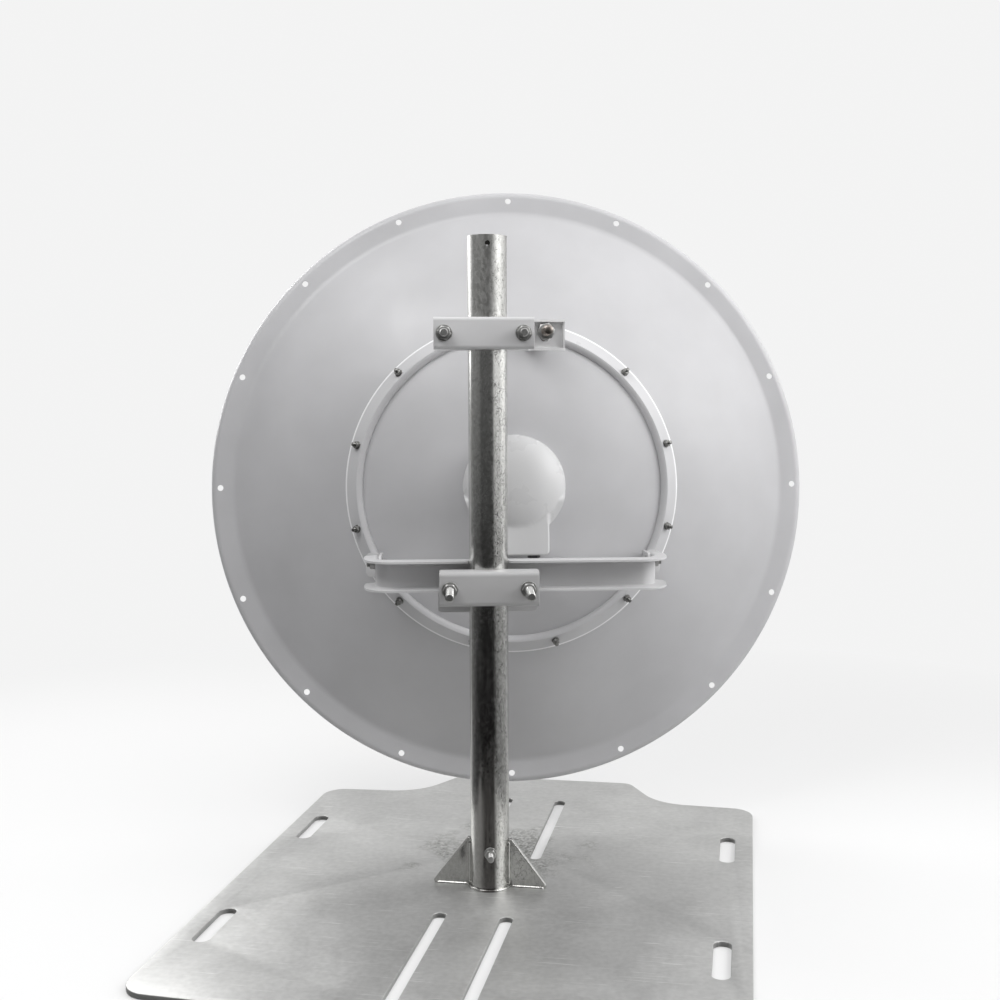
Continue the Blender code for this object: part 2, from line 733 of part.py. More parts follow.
def rear_channel(left, rear_y):
    """Long rear channel, open towards the mast, with a shallower stub and a closed right end."""
    low, high = UPPER_Z
    sheet = CLAMP_SHEET
    deep = UPPER_REAR_FLANGE_Y
    shallow = REAR_STUB_FLANGE_Y
    back = rear_y + sheet
    right = UPPER_REAR_RIGHT
    stub = UPPER_SHIFT_X + CLAMP_HALF_WIDTH
    plan = ((left, deep, False), (stub - REAR_STUB_STEP, deep, False), (stub, shallow, False),
            (right - sheet, shallow, False), (right - sheet, shallow, True),
            (right, shallow, True))
    stations = []
    for x, tip, closed in plan:
        outline = channel_outline(low, high, back, rear_y, tip, UPPER_BEND)
        if closed:
            outline = outline[:-4] + [
                (tip, high - sheet), (tip, high - sheet * 2.0),
                (tip, low + sheet * 2.0), (tip, low + sheet)]
        stations.append([(x, y, z) for y, z in outline])
    return loft(stations)


def member_stations():
    """Plan stations of the cross member: web point, outward normal, flange depth, heights."""
    low, high = MEMBER_Z
    half = MEMBER_HALF_WIDTH
    back_y = MEMBER_BACK_Y
    sheet = MEMBER_SHEET
    inner = half - sheet
    corner = MEMBER_CORNER
    full = back_y + 0.001
    leg_end = PIVOT_Y + LEG_END_RADIUS
    stations = []
    for step in range(4):
        angle = math.radians(90.0 * step / 3.0)
        cut = LEG_END_RADIUS * (1.0 - math.sin(angle))
        y = leg_end - LEG_END_RADIUS * (1.0 - math.cos(angle))
        stations.append((inner, y, (1.0, 0.0), sheet + STUB_FLANGE, low + cut * 1.2, high - cut))
    stations[-1] = (inner, leg_end - LEG_END_RADIUS, (1.0, 0.0), sheet + STUB_FLANGE, low, high)
    stations.append((inner, leg_end - LEG_END_RADIUS - 0.012, (1.0, 0.0),
                     MEMBER_LEG_FLANGE + sheet, low, high))
    for step in range(7):
        angle = math.radians(90.0 * step / 6.0)
        centre = (inner - corner, back_y + corner)
        normal = (math.cos(angle), -math.sin(angle))
        depth = MEMBER_LEG_FLANGE + sheet
        depth += (full - depth) * math.sin(angle) ** 2
        stations.append((centre[0] + corner * normal[0], centre[1] + corner * normal[1],
                         normal, depth, low, high))
    notch = MAST_RADIUS + NOTCH_CLEARANCE
    right_of_mast = [0.060, 0.0400, 0.0380, 0.0340, 0.0270, 0.0180, 0.0090]
    places = [x - DISH_X for x in right_of_mast]
    places += [-DISH_X] + [-x - DISH_X for x in reversed(right_of_mast)]
    for place in places:
        x = place + DISH_X
        depth = full
        if abs(x) < notch:
            depth = back_y - math.sqrt(notch * notch - x * x)
        stations.append((place, back_y, (0.0, -1.0), max(depth, sheet + STUB_FLANGE), low, high))
    left_side = [
        (-x, y, (-n[0], n[1]), depth, z0, z1)
        for x, y, n, depth, z0, z1 in reversed(stations[:12])]
    return stations + left_side


def build_member(mount):
    """Cross member: a channel bent into a U that carries the pivots of the dish."""
    sheet = MEMBER_SHEET
    sections = []
    for x, y, normal, depth, low, high in member_stations():
        outline = [(0.0, low), (0.0, high), (depth, high), (depth, high - sheet),
                   (sheet, high - sheet), (sheet, low + sheet), (depth, low + sheet), (depth, low)]
        sections.append([
            (DISH_X + x + normal[0] * off, y + normal[1] * off, z) for off, z in outline])
    member = add_solid("cross_member", loft(sections), "white_paint", mount, 25)
    middle = (LOWER_Z[0] + LOWER_Z[1]) / 2.0
    outer = MEMBER_HALF_WIDTH + 0.010
    inner = MEMBER_HALF_WIDTH - 0.020
    pivots = [((DISH_X + s * inner, PIVOT_Y, PIVOT_Z), (DISH_X + s * outer, PIVOT_Y, PIVOT_Z))
              for s in (-1.0, 1.0)]
    cutter = row_of_pins(pivots, M12.radius + GAP)
    studs = [((x, 0.030, middle), (x, 0.056, middle)) for x in (-CLAMP_BOLT_X, CLAMP_BOLT_X)]
    add_bars(cutter, studs, CLAMP_HOLE_RADIUS, 12)
    cut_away(member, cutter, "member_cutter")


def build_lower_clamp(mount):
    """Clamp halves and studs that hold the cross member against the mast."""
    low, high = LOWER_Z
    front = prism(channel_outline(low, high, LOWER_FRONT_Y, LOWER_FRONT_Y + CLAMP_SHEET,
                                  LOWER_FLANGE_Y, LOWER_BEND), [],
                  -CLAMP_HALF_WIDTH, CLAMP_HALF_WIDTH, flat_yz)
    front_half = add_solid("lower_clamp_front", front, "white_paint", mount)
    middle = (low + high) / 2.0
    through = [((x, LOWER_FRONT_Y - 0.010, middle), (x, 0.080, middle))
               for x in (-CLAMP_BOLT_X, CLAMP_BOLT_X)]
    cutter = row_of_pins(through, CLAMP_HOLE_RADIUS)
    add_bars(cutter, [((0.0, 0.0, low - 0.010), (0.0, 0.0, high + 0.010))],
             MAST_RADIUS + GAP, 40)
    cut_away(front_half, cutter, "lower_front_cutter")

    rear_low, rear_high = LOWER_REAR_Z
    rear_y = MEMBER_BACK_Y + GAP
    holes = [circle(x, middle, CLAMP_HOLE_RADIUS) for x in (-CLAMP_BOLT_X, CLAMP_BOLT_X)]
    outline = box_outline(-LOWER_REAR_HALF_WIDTH, rear_low, LOWER_REAR_HALF_WIDTH,
                          rear_high, LOWER_REAR_CORNER)
    rear = prism(outline, holes, rear_y, rear_y + CLAMP_SHEET, flat_xz)
    add_solid("lower_clamp_rear", rear, "white_paint", mount)

    washer_start = LOWER_STUD_REACH - M16.washer_height
    nut_start = washer_start - M16.nut_height
    start_y = LOWER_FRONT_Y - GAP - LOWER_STUD_REACH
    back = rear_y + CLAMP_SHEET + GAP - start_y
    for side, x in (("left", -CLAMP_BOLT_X), ("right", CLAMP_BOLT_X)):
        sections = [(0.0, M16.radius - 0.001, "round")] + bar(M16, 0.002, nut_start)
        sections += nut(M16, nut_start) + washer(M16, washer_start)
        sections += bar(M16, LOWER_STUD_REACH, back) + head(M16, back)
        stud = stacked(sections, (x, start_y, middle), (0.0, 1.0, 0.0))
        add_solid(f"lower_clamp_stud_{side}", stud, "zinc_fastener", mount, 30)


def build_pivots(dish, mount):
    """Lugs on the ring, and the pivot bolts that join them to the cross member."""
    tilt = math.radians(DISH_DROP_DEG)
    rise_y = PIVOT_Y - VERTEX_Y
    rise_z = PIVOT_Z - VERTEX_Z
    pivot_y = rise_y * math.cos(tilt) - rise_z * math.sin(tilt)
    pivot_z = rise_y * math.sin(tilt) + rise_z * math.cos(tilt)
    seat = back_surface(RING_SHOULDER) - RING_STAND_OFF - GAP
    ear_outer = MEMBER_HALF_WIDTH - MEMBER_SHEET - GAP * 2.0
    ear_inner = ear_outer - LUG_SHEET
    foot_near = seat - LUG_FOOT_SHEET
    foot_bottom = pivot_z - LUG_BELOW
    foot_top = pivot_z + LUG_ABOVE
    for side, sign in (("left", -1.0), ("right", 1.0)):
        ear = []
        for step in range(9):
            angle = math.radians(90.0 + 180.0 * step / 8.0)
            ear.append((pivot_y + LUG_RADIUS * math.cos(angle),
                        pivot_z + LUG_RADIUS * math.sin(angle)))
        ear += [(foot_near, foot_bottom), (seat, foot_bottom),
                (seat, foot_top), (foot_near, foot_top)]
        holes = [circle(pivot_y, pivot_z, M12.radius + GAP)]
        low, high = sorted((sign * ear_inner, sign * ear_outer))
        lug = add_solid(f"pivot_lug_{side}", prism(ear, holes, low, high, flat_yz),
                        "white_paint", dish)
        foot_low, foot_high = sorted((sign * (ear_outer - 0.001),
                                      sign * (ear_outer + LUG_FOOT_WIDTH)))
        foot = prism(box_outline(foot_low, foot_bottom, foot_high, foot_top, LUG_FOOT_CORNER),
                     [], foot_near, seat, flat_xz)
        combine(lug, foot, f"lug_foot_{side}_shape", dish, "UNION")

        grip = M12.head_height + M12.washer_height
        bolt_start = ear_inner - grip - GAP
        outside = MEMBER_HALF_WIDTH + GAP - bolt_start
        nut_start = outside + M12.washer_height
        nut_end = nut_start + M12.nut_height
        sections = head(M12, 0.0) + washer(M12, M12.head_height) + bar(M12, grip, outside)
        sections += washer(M12, outside) + nut(M12, nut_start)
        sections += bar(M12, nut_end, nut_end + 0.0065)
        start = (DISH_X + sign * bolt_start, PIVOT_Y, PIVOT_Z)
        bolt = stacked(sections, start, (sign, 0.0, 0.0))
        add_solid(f"pivot_bolt_{side}", bolt, "zinc_fastener", mount, 30)


def build_elevation_rod(dish, mount):
    """Threaded rod that sets the elevation, its bracket on the ring and its nuts."""
    tilt = math.radians(DISH_DROP_DEG)
    seat = back_surface(RING_SHOULDER) - RING_STAND_OFF - GAP
    across = ROD_X - DISH_X
    sheet = BRACKET_SHEET
    left = across - BRACKET_LEFT
    right = across + BRACKET_RIGHT
    outline = [
        (left, seat), (left, BRACKET_FRONT), (right, BRACKET_FRONT), (right, seat),
        (right - sheet, seat), (right - sheet, BRACKET_FRONT + sheet),
        (left + sheet, BRACKET_FRONT + sheet), (left + sheet, seat),
    ]
    rise = ROD_Z - VERTEX_Z
    plate_middle = BRACKET_FRONT + sheet / 2.0
    height = (rise + plate_middle * math.sin(tilt)) / math.cos(tilt)
    bracket = add_solid(
        "rod_bracket",
        prism(outline, [], height - BRACKET_BELOW, height + BRACKET_ABOVE, flat_xy),
        "white_paint", dish)
    plate_y = VERTEX_Y + plate_middle * math.cos(tilt) + height * math.sin(tilt)
    hole = row_of_pins([((ROD_X, plate_y - 0.020, ROD_Z), (ROD_X, plate_y + 0.020, ROD_Z))],
                       M20.radius + 0.0009, 16)
    combine(bracket, hole, "bracket_hole_cutter", mount, "DIFFERENCE")

    grip = sheet / 2.0 + BRACKET_NUT_PLAY
    front_face = plate_y - grip - ROD_FRONT_Y
    back_face = plate_y + grip - ROD_FRONT_Y
    front_nut = front_face - M20.nut_height
    nut_end = back_face + M20.nut_height
    sections = [(0.0, 0.0060, "round"), (0.003, M20.radius - 0.001, "round")]
    sections += bar(M20, 0.006, front_nut) + nut(M20, front_nut, "hex_side")
    sections += bar(M20, front_face, back_face) + nut(M20, back_face, "hex_side")
    sections += bar(M20, nut_end, nut_end + 0.006)
    add_solid("elevation_rod",
              stacked(sections, (ROD_X, ROD_FRONT_Y, ROD_Z), (0.0, 1.0, 0.0)),
              "zinc_fastener", mount, 30)

    web_front = BEHIND_MAST_Y - ELEVATION_NUT_PLAY
    web_back = BEHIND_MAST_Y + CLAMP_SHEET + ELEVATION_NUT_PLAY
    bore = M20.radius + GAP
    rows = washer(M20, 0.0) + nut(M20, M20.washer_height)
    rows += [(M20.washer_height + M20.nut_height, bore, "round"), (0.0, bore, "round")]
    for name, face, away in (("front", web_front, -1.0), ("rear", web_back, 1.0)):
        body = nut_body(rows, (ROD_X, face, ROD_Z), (0.0, away, 0.0))
        add_solid(f"elevation_nut_{name}", body, "zinc_fastener", mount, 30)


def nut_body(rows, start, direction):
    """Nut with its washer: stacked sections that close on the bore."""
    bm = stacked(rows, start, direction)
    caps = [face for face in bm.faces if len(face.verts) > 4]
    loops = [list(face.verts) for face in caps]
    for face in caps:
        bm.faces.remove(face)
    first, last = loops
    last = order_like(first, last)
    bridge(bm, first, last)
    return bm


def order_like(first, last):
    """Order a loop's vertices so that each is the nearest in angle to its partner."""
    centre_first = sum((v.co for v in first), Vector()) / len(first)
    centre_last = sum((v.co for v in last), Vector()) / len(last)
    ordered = []
    for vert in first:
        direction = (vert.co - centre_first).normalized()
        ordered.append(max(last, key=lambda v: (v.co - centre_last).normalized().dot(direction)))
    return ordered


def main():
    """Build every piece of the antenna."""
    clear_scene()
    mount = add_empty("mount_frame", (0.0, 0.0, 0.0), turn_z=math.radians(MOUNT_TURN_DEG))
    dish = add_empty("dish_frame", (DISH_X, VERTEX_Y, VERTEX_Z),
                     tilt_x=math.radians(-DISH_DROP_DEG), parent=mount)
    build_stand()
    build_upper_clamp(mount)
    build_lower_clamp(mount)
    build_member(mount)
    build_reflector(dish)
    build_ring(dish)
    build_cover(dish)
    build_feed(dish)
    build_pivots(dish, mount)
    build_elevation_rod(dish, mount)


main()
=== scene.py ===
"""Microwave dish antenna on a tube mast: finished pieces, their materials and the studio.

Everything is in metres in the row frame, +Z up, with the origin on the floor under the mast.
The clamped mount is turned about the mast, and its right-hand direction is the elevation axis.
The dish hangs in the mount, a little to the right of the mast, and looks slightly down.
"""
import json
import logging
import math
from dataclasses import dataclass
from enum import Enum
from typing import ClassVar, Sequence

import bmesh
import bpy
import numpy as np
from mathutils import Matrix, Vector
from mathutils.geometry import tessellate_polygon


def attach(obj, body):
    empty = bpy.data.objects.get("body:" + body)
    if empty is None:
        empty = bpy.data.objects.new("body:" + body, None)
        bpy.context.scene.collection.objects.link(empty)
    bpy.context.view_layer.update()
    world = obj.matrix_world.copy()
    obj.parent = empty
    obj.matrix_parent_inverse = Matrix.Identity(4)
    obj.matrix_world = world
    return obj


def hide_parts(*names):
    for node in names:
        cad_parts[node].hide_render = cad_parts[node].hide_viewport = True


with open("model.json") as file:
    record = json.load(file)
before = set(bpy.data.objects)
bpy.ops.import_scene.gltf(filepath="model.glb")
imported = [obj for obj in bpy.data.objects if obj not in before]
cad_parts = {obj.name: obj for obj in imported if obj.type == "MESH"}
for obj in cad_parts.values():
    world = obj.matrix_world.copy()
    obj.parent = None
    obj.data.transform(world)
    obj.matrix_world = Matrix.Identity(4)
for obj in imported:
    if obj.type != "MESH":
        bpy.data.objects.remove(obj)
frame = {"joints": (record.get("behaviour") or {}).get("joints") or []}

Array = np.ndarray
Floats = Sequence[float]
Pair = tuple[float, float]
Triple = tuple[float, float, float]
Piece = bpy.types.Object
Socket = bpy.types.NodeSocket

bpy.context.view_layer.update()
LOG = logging.getLogger("antenna")

# Running gap between touching pieces, and the distance under which points are one point
GAP = 0.0003
MERGE = 2e-6
# Angle under which a weld bead stays smooth, in degrees
BEAD_SMOOTH = 60.0
# A thread's rows of points for each turn, and its groove's depth in pitches
ROWS_A_TURN = 6
GROOVE = 0.55
# The dish's vertex in the mount's axes, and how far the dish looks down
VERTEX = (0.057, 0.145, 0.788)
DROP_DEG = 4.3


class Body(Enum):
    """The bodies that pieces ride on."""

    STAND = "stand"
    MOUNT = "mount"
    DISH = "dish"
    NUTS = "elevation_nuts"


class Slot(Enum):
    """The record's material slots."""

    DISH_PAINT = "dish_paint"
    BRACKET_PAINT = "bracket_paint"
    COVER_PAINT = "cover_paint"
    GALVANISED = "galvanised"
    PLATE_STEEL = "plate_steel"
    FASTENER = "zinc_fastener"
    FEED_METAL = "feed_metal"
    BLACK_PLASTIC = "black_plastic"


class Flats(Enum):
    """Which way a hexagon's first flat faces, as its angle from straight up, in degrees."""

    UP = 0.0
    ASIDE = 30.0
    TURNED = 12.0


class Side(Enum):
    """The side that a piece of a pair stands on, as its sign along x."""

    LEFT = -1.0
    RIGHT = 1.0

    def __str__(self) -> str:
        """The ending of a piece's name."""
        return self.name.lower()


@dataclass(frozen=True)
class Axes:
    """A right-handed set of axes and its origin, in the row frame."""

    origin: Array
    right: Array
    ahead: Array
    up: Array

    @property
    def matrix(self) -> Array:
        """The three directions, one a row."""
        return np.stack((self.right, self.ahead, self.up))

    def place(self, points: Array | Floats) -> Array:
        """Carry points of these axes into the row frame: origin plus the three parts."""
        return self.origin + np.asarray(points, float) @ self.matrix

    def find(self, points: Array) -> Array:
        """Carry points of the row frame into these axes."""
        return (points - self.origin) @ self.matrix.T

    def dipped(self, origin: Floats, drop_deg: float) -> "Axes":
        """Axes at a point of these ones that look down by an angle.

        Args:
            origin: The new origin, in these axes.
            drop_deg: How far the forward direction dips.

        Returns:
            The dipped axes, with forward = forward cos d - up sin d.
        """
        drop = math.radians(drop_deg)
        ahead = self.ahead * math.cos(drop) - self.up * math.sin(drop)
        up = self.ahead * math.sin(drop) + self.up * math.cos(drop)
        return Axes(self.place(origin), self.right, ahead, up)


ROW = Axes(np.zeros(3), *np.eye(3))


def mount_axes() -> Axes:
    """Axes of the clamped mount.

    Returns:
        Upright axes at the row's origin, whose right is the elevation joint's axis.
    """
    axis = next(joint["axis"] for joint in frame["joints"] if joint["name"] == "elevation")
    right = np.asarray(axis, float)
    up = np.array((0.0, 0.0, 1.0))
    return Axes(np.zeros(3), right, np.cross(up, right), up)


def arc(centre: Floats, radius: float, start_deg: float, end_deg: float, steps: int) -> Array:
    """Points of an arc: the centre plus radius times (cos, sin) of even angles.

    Args:
        centre: Centre in the plane of the profile.
        radius: Radius of the arc.
        start_deg: First angle.
        end_deg: Last angle.
        steps: Number of stretches.

    Returns:
        An array of steps + 1 points.
    """
    angle = np.radians(np.linspace(start_deg, end_deg, steps + 1))
    return np.asarray(centre) + radius * stacked(np.cos(angle), np.sin(angle))


def quarter(steps: int) -> tuple[Array, Array]:
    """Rows of 1 - sin t and of 1 - cos t, with t from 0 to a right angle."""
    turn = np.radians(np.linspace(0.0, 90.0, steps + 1))
    return 1.0 - np.sin(turn), 1.0 - np.cos(turn)


def stacked(*parts: Array | float) -> Array:
    """Points from their coordinates, each an array or one number."""
    return np.stack(np.broadcast_arrays(*parts), -1)


def joined(*parts: Sequence) -> Array:
    """One array of points from single points and rows of points."""
    return np.concatenate([np.atleast_2d(np.asarray(part, float)) for part in parts])


def soft_step(value: Array, low: float, high: float) -> Array:
    """Smooth rise from 0 at low to 1 at high: 3 t squared - 2 t cubed."""
    share = np.clip((value - low) / (high - low), 0.0, 1.0)
    return share * share * (3.0 - 2.0 * share)


def unit(vectors: Array) -> Array:
    """Vectors divided by their own lengths."""
    return vectors / np.linalg.norm(vectors, axis=-1, keepdims=True)


def circle_depth(radius: float, across: Array) -> Array:
    """Half chord of a circle at some distances from its middle, 0 outside it."""
    return np.sqrt(np.maximum(radius ** 2 - across ** 2, 0.0))


def rounded_loop(corners: Sequence[Floats], steps: int = 8) -> Array:
    """Closed outline whose corners are arcs.

    Each arc's centre lies on the corner's bisector at radius / sin(half angle), and its ends lie
    on the two sides at radius / tan(half angle).

    Args:
        corners: Rows of (u, v, radius), anticlockwise.
        steps: Stretches of each arc.

    Returns:
        The outline's points.
    """
    rows = np.asarray(corners, float)
    here, radius = rows[:, :2], rows[:, 2:]
    before = unit(np.roll(here, 1, 0) - here)
    after = unit(np.roll(here, -1, 0) - here)
    half = np.arccos((before * after).sum(1, keepdims=True)) / 2.0
    centre = here + unit(before + after) * radius / np.sin(half)
    start = here + before * radius / np.tan(half) - centre
    end = here + after * radius / np.tan(half) - centre
    first = np.arctan2(start[:, 1], start[:, 0])
    sweep = np.arctan2(end[:, 1], end[:, 0]) - first
    sweep = (sweep + np.pi) % (2.0 * np.pi) - np.pi
    angle = first[:, None] + sweep[:, None] * np.linspace(0.0, 1.0, steps + 1)
    points = centre[:, None] + radius[:, None] * stacked(np.cos(angle), np.sin(angle))
    return points.reshape(-1, 2)


def box_loop(low: Floats, high: Floats, radius: float, steps: int = 8) -> Array:
    """Rectangle between two (u, v) corners, anticlockwise, with rounded corners.

    Args:
        low: Its lower left corner.
        high: Its upper right corner.
        radius: Corner radius.
        steps: Stretches of each corner.

    Returns:
        The outline's points.
    """
    corners = (low, (high[0], low[1]), high, (low[0], high[1]))
    return rounded_loop([(*corner, radius) for corner in corners], steps)


def pierced(top: Array, bottom: Array, centre: Floats, radius: float,
            stretch: float = 0.0, steps: int = 3) -> Array:
    """Grid between a hole and the border of the cell that it pierces.

    The hole is a circle pulled apart by the stretch into a slot along v. Point i of its upper
    half goes with point i of the top border, and the lower half with the bottom border, and the
    rows between the two are straight blends.

    Args:
        top: Top border from left to right, (k, 2).
        bottom: Bottom border from left to right, (k, 2).
        centre: Middle of the hole.
        radius: Radius of its round ends.
        stretch: Half the length of its straight sides.
        steps: Rows of faces from the hole to the border.

    Returns:
        A grid (steps + 1, 2 k, 2) from the hole to the border.
    """
    count = len(top)
    upper = np.radians(np.linspace(-90.0, 90.0, count))
    angle = np.concatenate((upper, upper + np.pi))
    shift = np.repeat((stretch, -stretch), count)
    hole = stacked(radius * np.sin(angle), radius * np.cos(angle) + shift)
    border = np.concatenate((top, bottom[::-1]))
    share = np.linspace(0.0, 1.0, steps + 1)[:, None, None]
    return (np.asarray(centre) + hole) * (1.0 - share) + border * share


def lifted(flat: Array, along: float | Array) -> Array:
    """Points (u, v) of a plane across Y as (u, along, v)."""
    return stacked(flat[..., 0], along, flat[..., 1])


def circles(radius: Array, level: Array, columns: int) -> Array:
    """Circles about the Y axis.

    Args:
        radius: Their radii.
        level: Their places along Y.
        columns: Number of angles, from straight up towards the right.

    Returns:
        A grid (rows, columns, 3) of (radius sin a, level, radius cos a).
    """
    angle = np.linspace(0.0, 2.0 * np.pi, columns, endpoint=False)
    radius, level = np.asarray(radius)[:, None], np.asarray(level)[:, None]
    return stacked(radius * np.sin(angle), level, radius * np.cos(angle))


def capped(grid: Array) -> Array:
    """A tube's grid with a row at the middle of each end, which closes it."""
    first, last = (np.broadcast_to(grid[end].mean(0), grid[:1].shape) for end in (0, -1))
    return np.concatenate((first, grid, last))


def bead(path: Array, radius: float, closed: bool = False, sides: int = 10) -> Array:
    """Weld bead along a path of evenly spaced points.

    Circles of radius (1 + 0.14 |sin(1.9 i)|) stand across the path at its point i, so the bead
    has the scales that a welder leaves, and at open ends the circles shrink to a closed tip.

    Args:
        path: Points (n, 3).
        radius: Mean radius.
        closed: Whether the path is a ring.
        sides: Points of each circle.

    Returns:
        A grid with a circle a row.
    """
    count = len(path)
    step = np.arange(count)
    size = radius * (1.0 + 0.14 * np.abs(np.sin(1.9 * step)))
    if closed:
        along = unit(np.roll(path, -1, 0) - np.roll(path, 1, 0))
    else:
        along = unit(np.gradient(path, axis=0))
        ends = np.minimum(step, count - 1 - step) / 3.0
        size = size * np.sqrt(np.clip(ends, 0.0, 1.0))
    reference = np.where(np.abs(along[:, 2:]) > 0.9, (1.0, 0.0, 0.0), (0.0, 0.0, 1.0))
    side = unit(np.cross(along, reference))
    other = np.cross(side, along)
    angle = np.linspace(0.0, 2.0 * np.pi, sides, endpoint=False)[None, :, None]
    circle = np.cos(angle) * side[:, None] + np.sin(angle) * other[:, None]
    grid = path[:, None] + size[:, None, None] * circle
    return grid if closed else capped(grid)


class Shell:
    """Collects the grids and fills of one piece and closes them into a mesh."""

    def __init__(self, axes: Axes) -> None:
        """Start an empty shell in a set of axes."""
        self.axes = axes
        self.blocks: list[Array] = []
        self.faces: list[Array] = []

    def keep(self, points: Array, faces: Array) -> "Shell":
        """Take points (n, 3) and the faces between them."""
        self.faces.append(faces + sum(map(len, self.blocks)))
        self.blocks.append(points)
        return self

    def grid(self, points: Array, loop_rows: bool = False, loop_columns: bool = False,
             skip: Array | None = None) -> "Shell":
        """Add a grid of quads.

        Args:
            points: Grid (rows, columns, 3).
            loop_rows: Whether the last row joins the first.
            loop_columns: Whether the last column joins the first.
            skip: Mask (rows - 1, columns - 1) of the quads that are left out.

        Returns:
            This shell.
        """
        index = np.arange(points.shape[0] * points.shape[1]).reshape(points.shape[:2])
        if loop_rows:
            index = np.vstack((index, index[:1]))
        if loop_columns:
            index = np.hstack((index, index[:, :1]))
        quads = np.stack((index[:-1, :-1], index[1:, :-1], index[1:, 1:], index[:-1, 1:]), -1)
        quads = quads.reshape(-1, 4) if skip is None else quads[~skip]
        return self.keep(points.reshape(-1, 3), quads)

    def tube(self, *grids: Array) -> "Shell":
        """Add grids whose last column joins the first."""
        for points in grids:
            self.grid(points, loop_columns=True)
        return self

    def spun(self, *profiles: Array, columns: int) -> "Shell":
        """Add surfaces of revolution about the Y axis, from rows of (radius, y)."""
        return self.tube(*(circles(*profile.T, columns) for profile in profiles))

    def slab(self, loops: Sequence[Array], low: float, high: float, edge: float,
             order: tuple[int, int, int] = (0, 1, 2)) -> "Shell":
        """Add a flat plate whose edges are rounded.

        A loop moves into the material by edge (1 - sin t) while its height runs edge (1 - cos t)
        in from each face, with t from 0 to a right angle. The outline runs anticlockwise and
        holes run clockwise, so the material is always on the left.

        Args:
            loops: The outline and then the holes, each (n, 2).
            low: Height of the lower face.
            high: Height of the upper face.
            edge: Radius of the rounded edge.
            order: Which of (u, v, height) becomes x, y and z.

        Returns:
            This shell.
        """
        inset, rise = (edge * part for part in quarter(3))
        insets = np.concatenate((inset, inset[::-1]))[:, None, None]
        heights = np.concatenate((low + rise, high - rise[::-1]))[:, None, None]
        rims = []
        for loop in loops:
            along = unit(np.roll(loop, -1, 0) - loop)
            normal = stacked(-along[:, 1], along[:, 0])
            bisector = unit(normal + np.roll(normal, 1, 0))
            bisector = bisector / (bisector * normal).sum(1, keepdims=True)
            flat = loop + insets * bisector
            level = np.broadcast_to(heights, (*flat.shape[:2], 1))
            rims.append(np.concatenate((flat, level), -1)[..., list(order)])
            self.tube(rims[-1])
        for end in (0, -1):
            face = [rim[end] for rim in rims]
            triangles = tessellate_polygon([[Vector(point) for point in rim] for rim in face])
            self.keep(np.concatenate(face), np.array(triangles))
        return self

    def mesh(self, name: str) -> Piece:
        """Make the mesh object with its doubles merged and its faces consistent.

        Args:
            name: Name of the piece.

        Returns:
            The piece.
        """
        points = self.axes.place(np.concatenate(self.blocks))
        faces = [face for block in self.faces for face in block.tolist()]
        mesh = bpy.data.meshes.new(name)
        mesh.from_pydata(points.tolist(), [], faces)
        bm = bmesh.new()
        bm.from_mesh(mesh)
        bmesh.ops.remove_doubles(bm, verts=bm.verts, dist=MERGE)
        bmesh.ops.recalc_face_normals(bm, faces=bm.faces)
        bm.to_mesh(mesh)
        bm.free()
        piece = bpy.data.objects.new(name, mesh)
        bpy.context.scene.collection.objects.link(piece)
        return piece

    def solid(self, name: str, smooth_deg: float = 32.0) -> Piece:
        """Finish a closed piece.

        Args:
            name: Name of the piece.
            smooth_deg: The surface is smooth where its faces meet under this angle.

        Returns:
            The piece.
        """
        piece = self.mesh(name)
        piece.data.shade_smooth()
        piece.data.set_sharp_from_angle(angle=math.radians(smooth_deg))
        return piece

    def sheet(self, name: str, thickness: float, facing: float, edge: float = 0.0009) -> Piece:
        """Finish an open surface as sheet metal that lies behind it.

        Args:
            name: Name of the piece.
            thickness: Thickness of the sheet.
            facing: 1 if most of the outer face looks ahead, and -1 if it looks back.
            edge: Width of the broken edges.

        Returns:
            The piece, with Solidify and Bevel left on it.
        """
        piece = self.mesh(name)
        mesh = piece.data
        normals = np.empty(len(mesh.polygons) * 3)
        areas = np.empty(len(mesh.polygons))
        mesh.polygons.foreach_get("normal", normals)
        mesh.polygons.foreach_get("area", areas)
        mean = (normals.reshape(-1, 3) * areas[:, None]).sum(0)
        if mean @ self.axes.ahead * facing < 0.0:
            mesh.flip_normals()
        mesh.shade_smooth()
        wall = piece.modifiers.new("sheet", "SOLIDIFY")
        wall.thickness = thickness
        wall.offset = -1.0
        wall.use_even_offset = True
        broken = piece.modifiers.new("edges", "BEVEL")
        broken.width = edge
        broken.segments = 2
        broken.limit_method = "ANGLE"
        broken.angle_limit = math.radians(50.0)
        broken.harden_normals = True
        return piece


@dataclass(frozen=True)
class Thread:
    """A threaded size with its nut, head and washer."""

    radius: float
    pitch: float
    nut_half: float
    nut_height: float
    head_height: float
    washer_radius: float
    washer_height: float


M8 = Thread(0.0040, 0.00125, 0.0065, 0.0065, 0.0053, 0.0082, 0.0016)
M12 = Thread(0.0060, 0.00175, 0.0095, 0.0100, 0.0075, 0.0120, 0.0025)
M16 = Thread(0.0080, 0.0020, 0.0120, 0.0130, 0.0100, 0.0155, 0.0030)
M20 = Thread(0.0100, 0.0025, 0.0150, 0.0160, 0.0125, 0.0165, 0.0030)


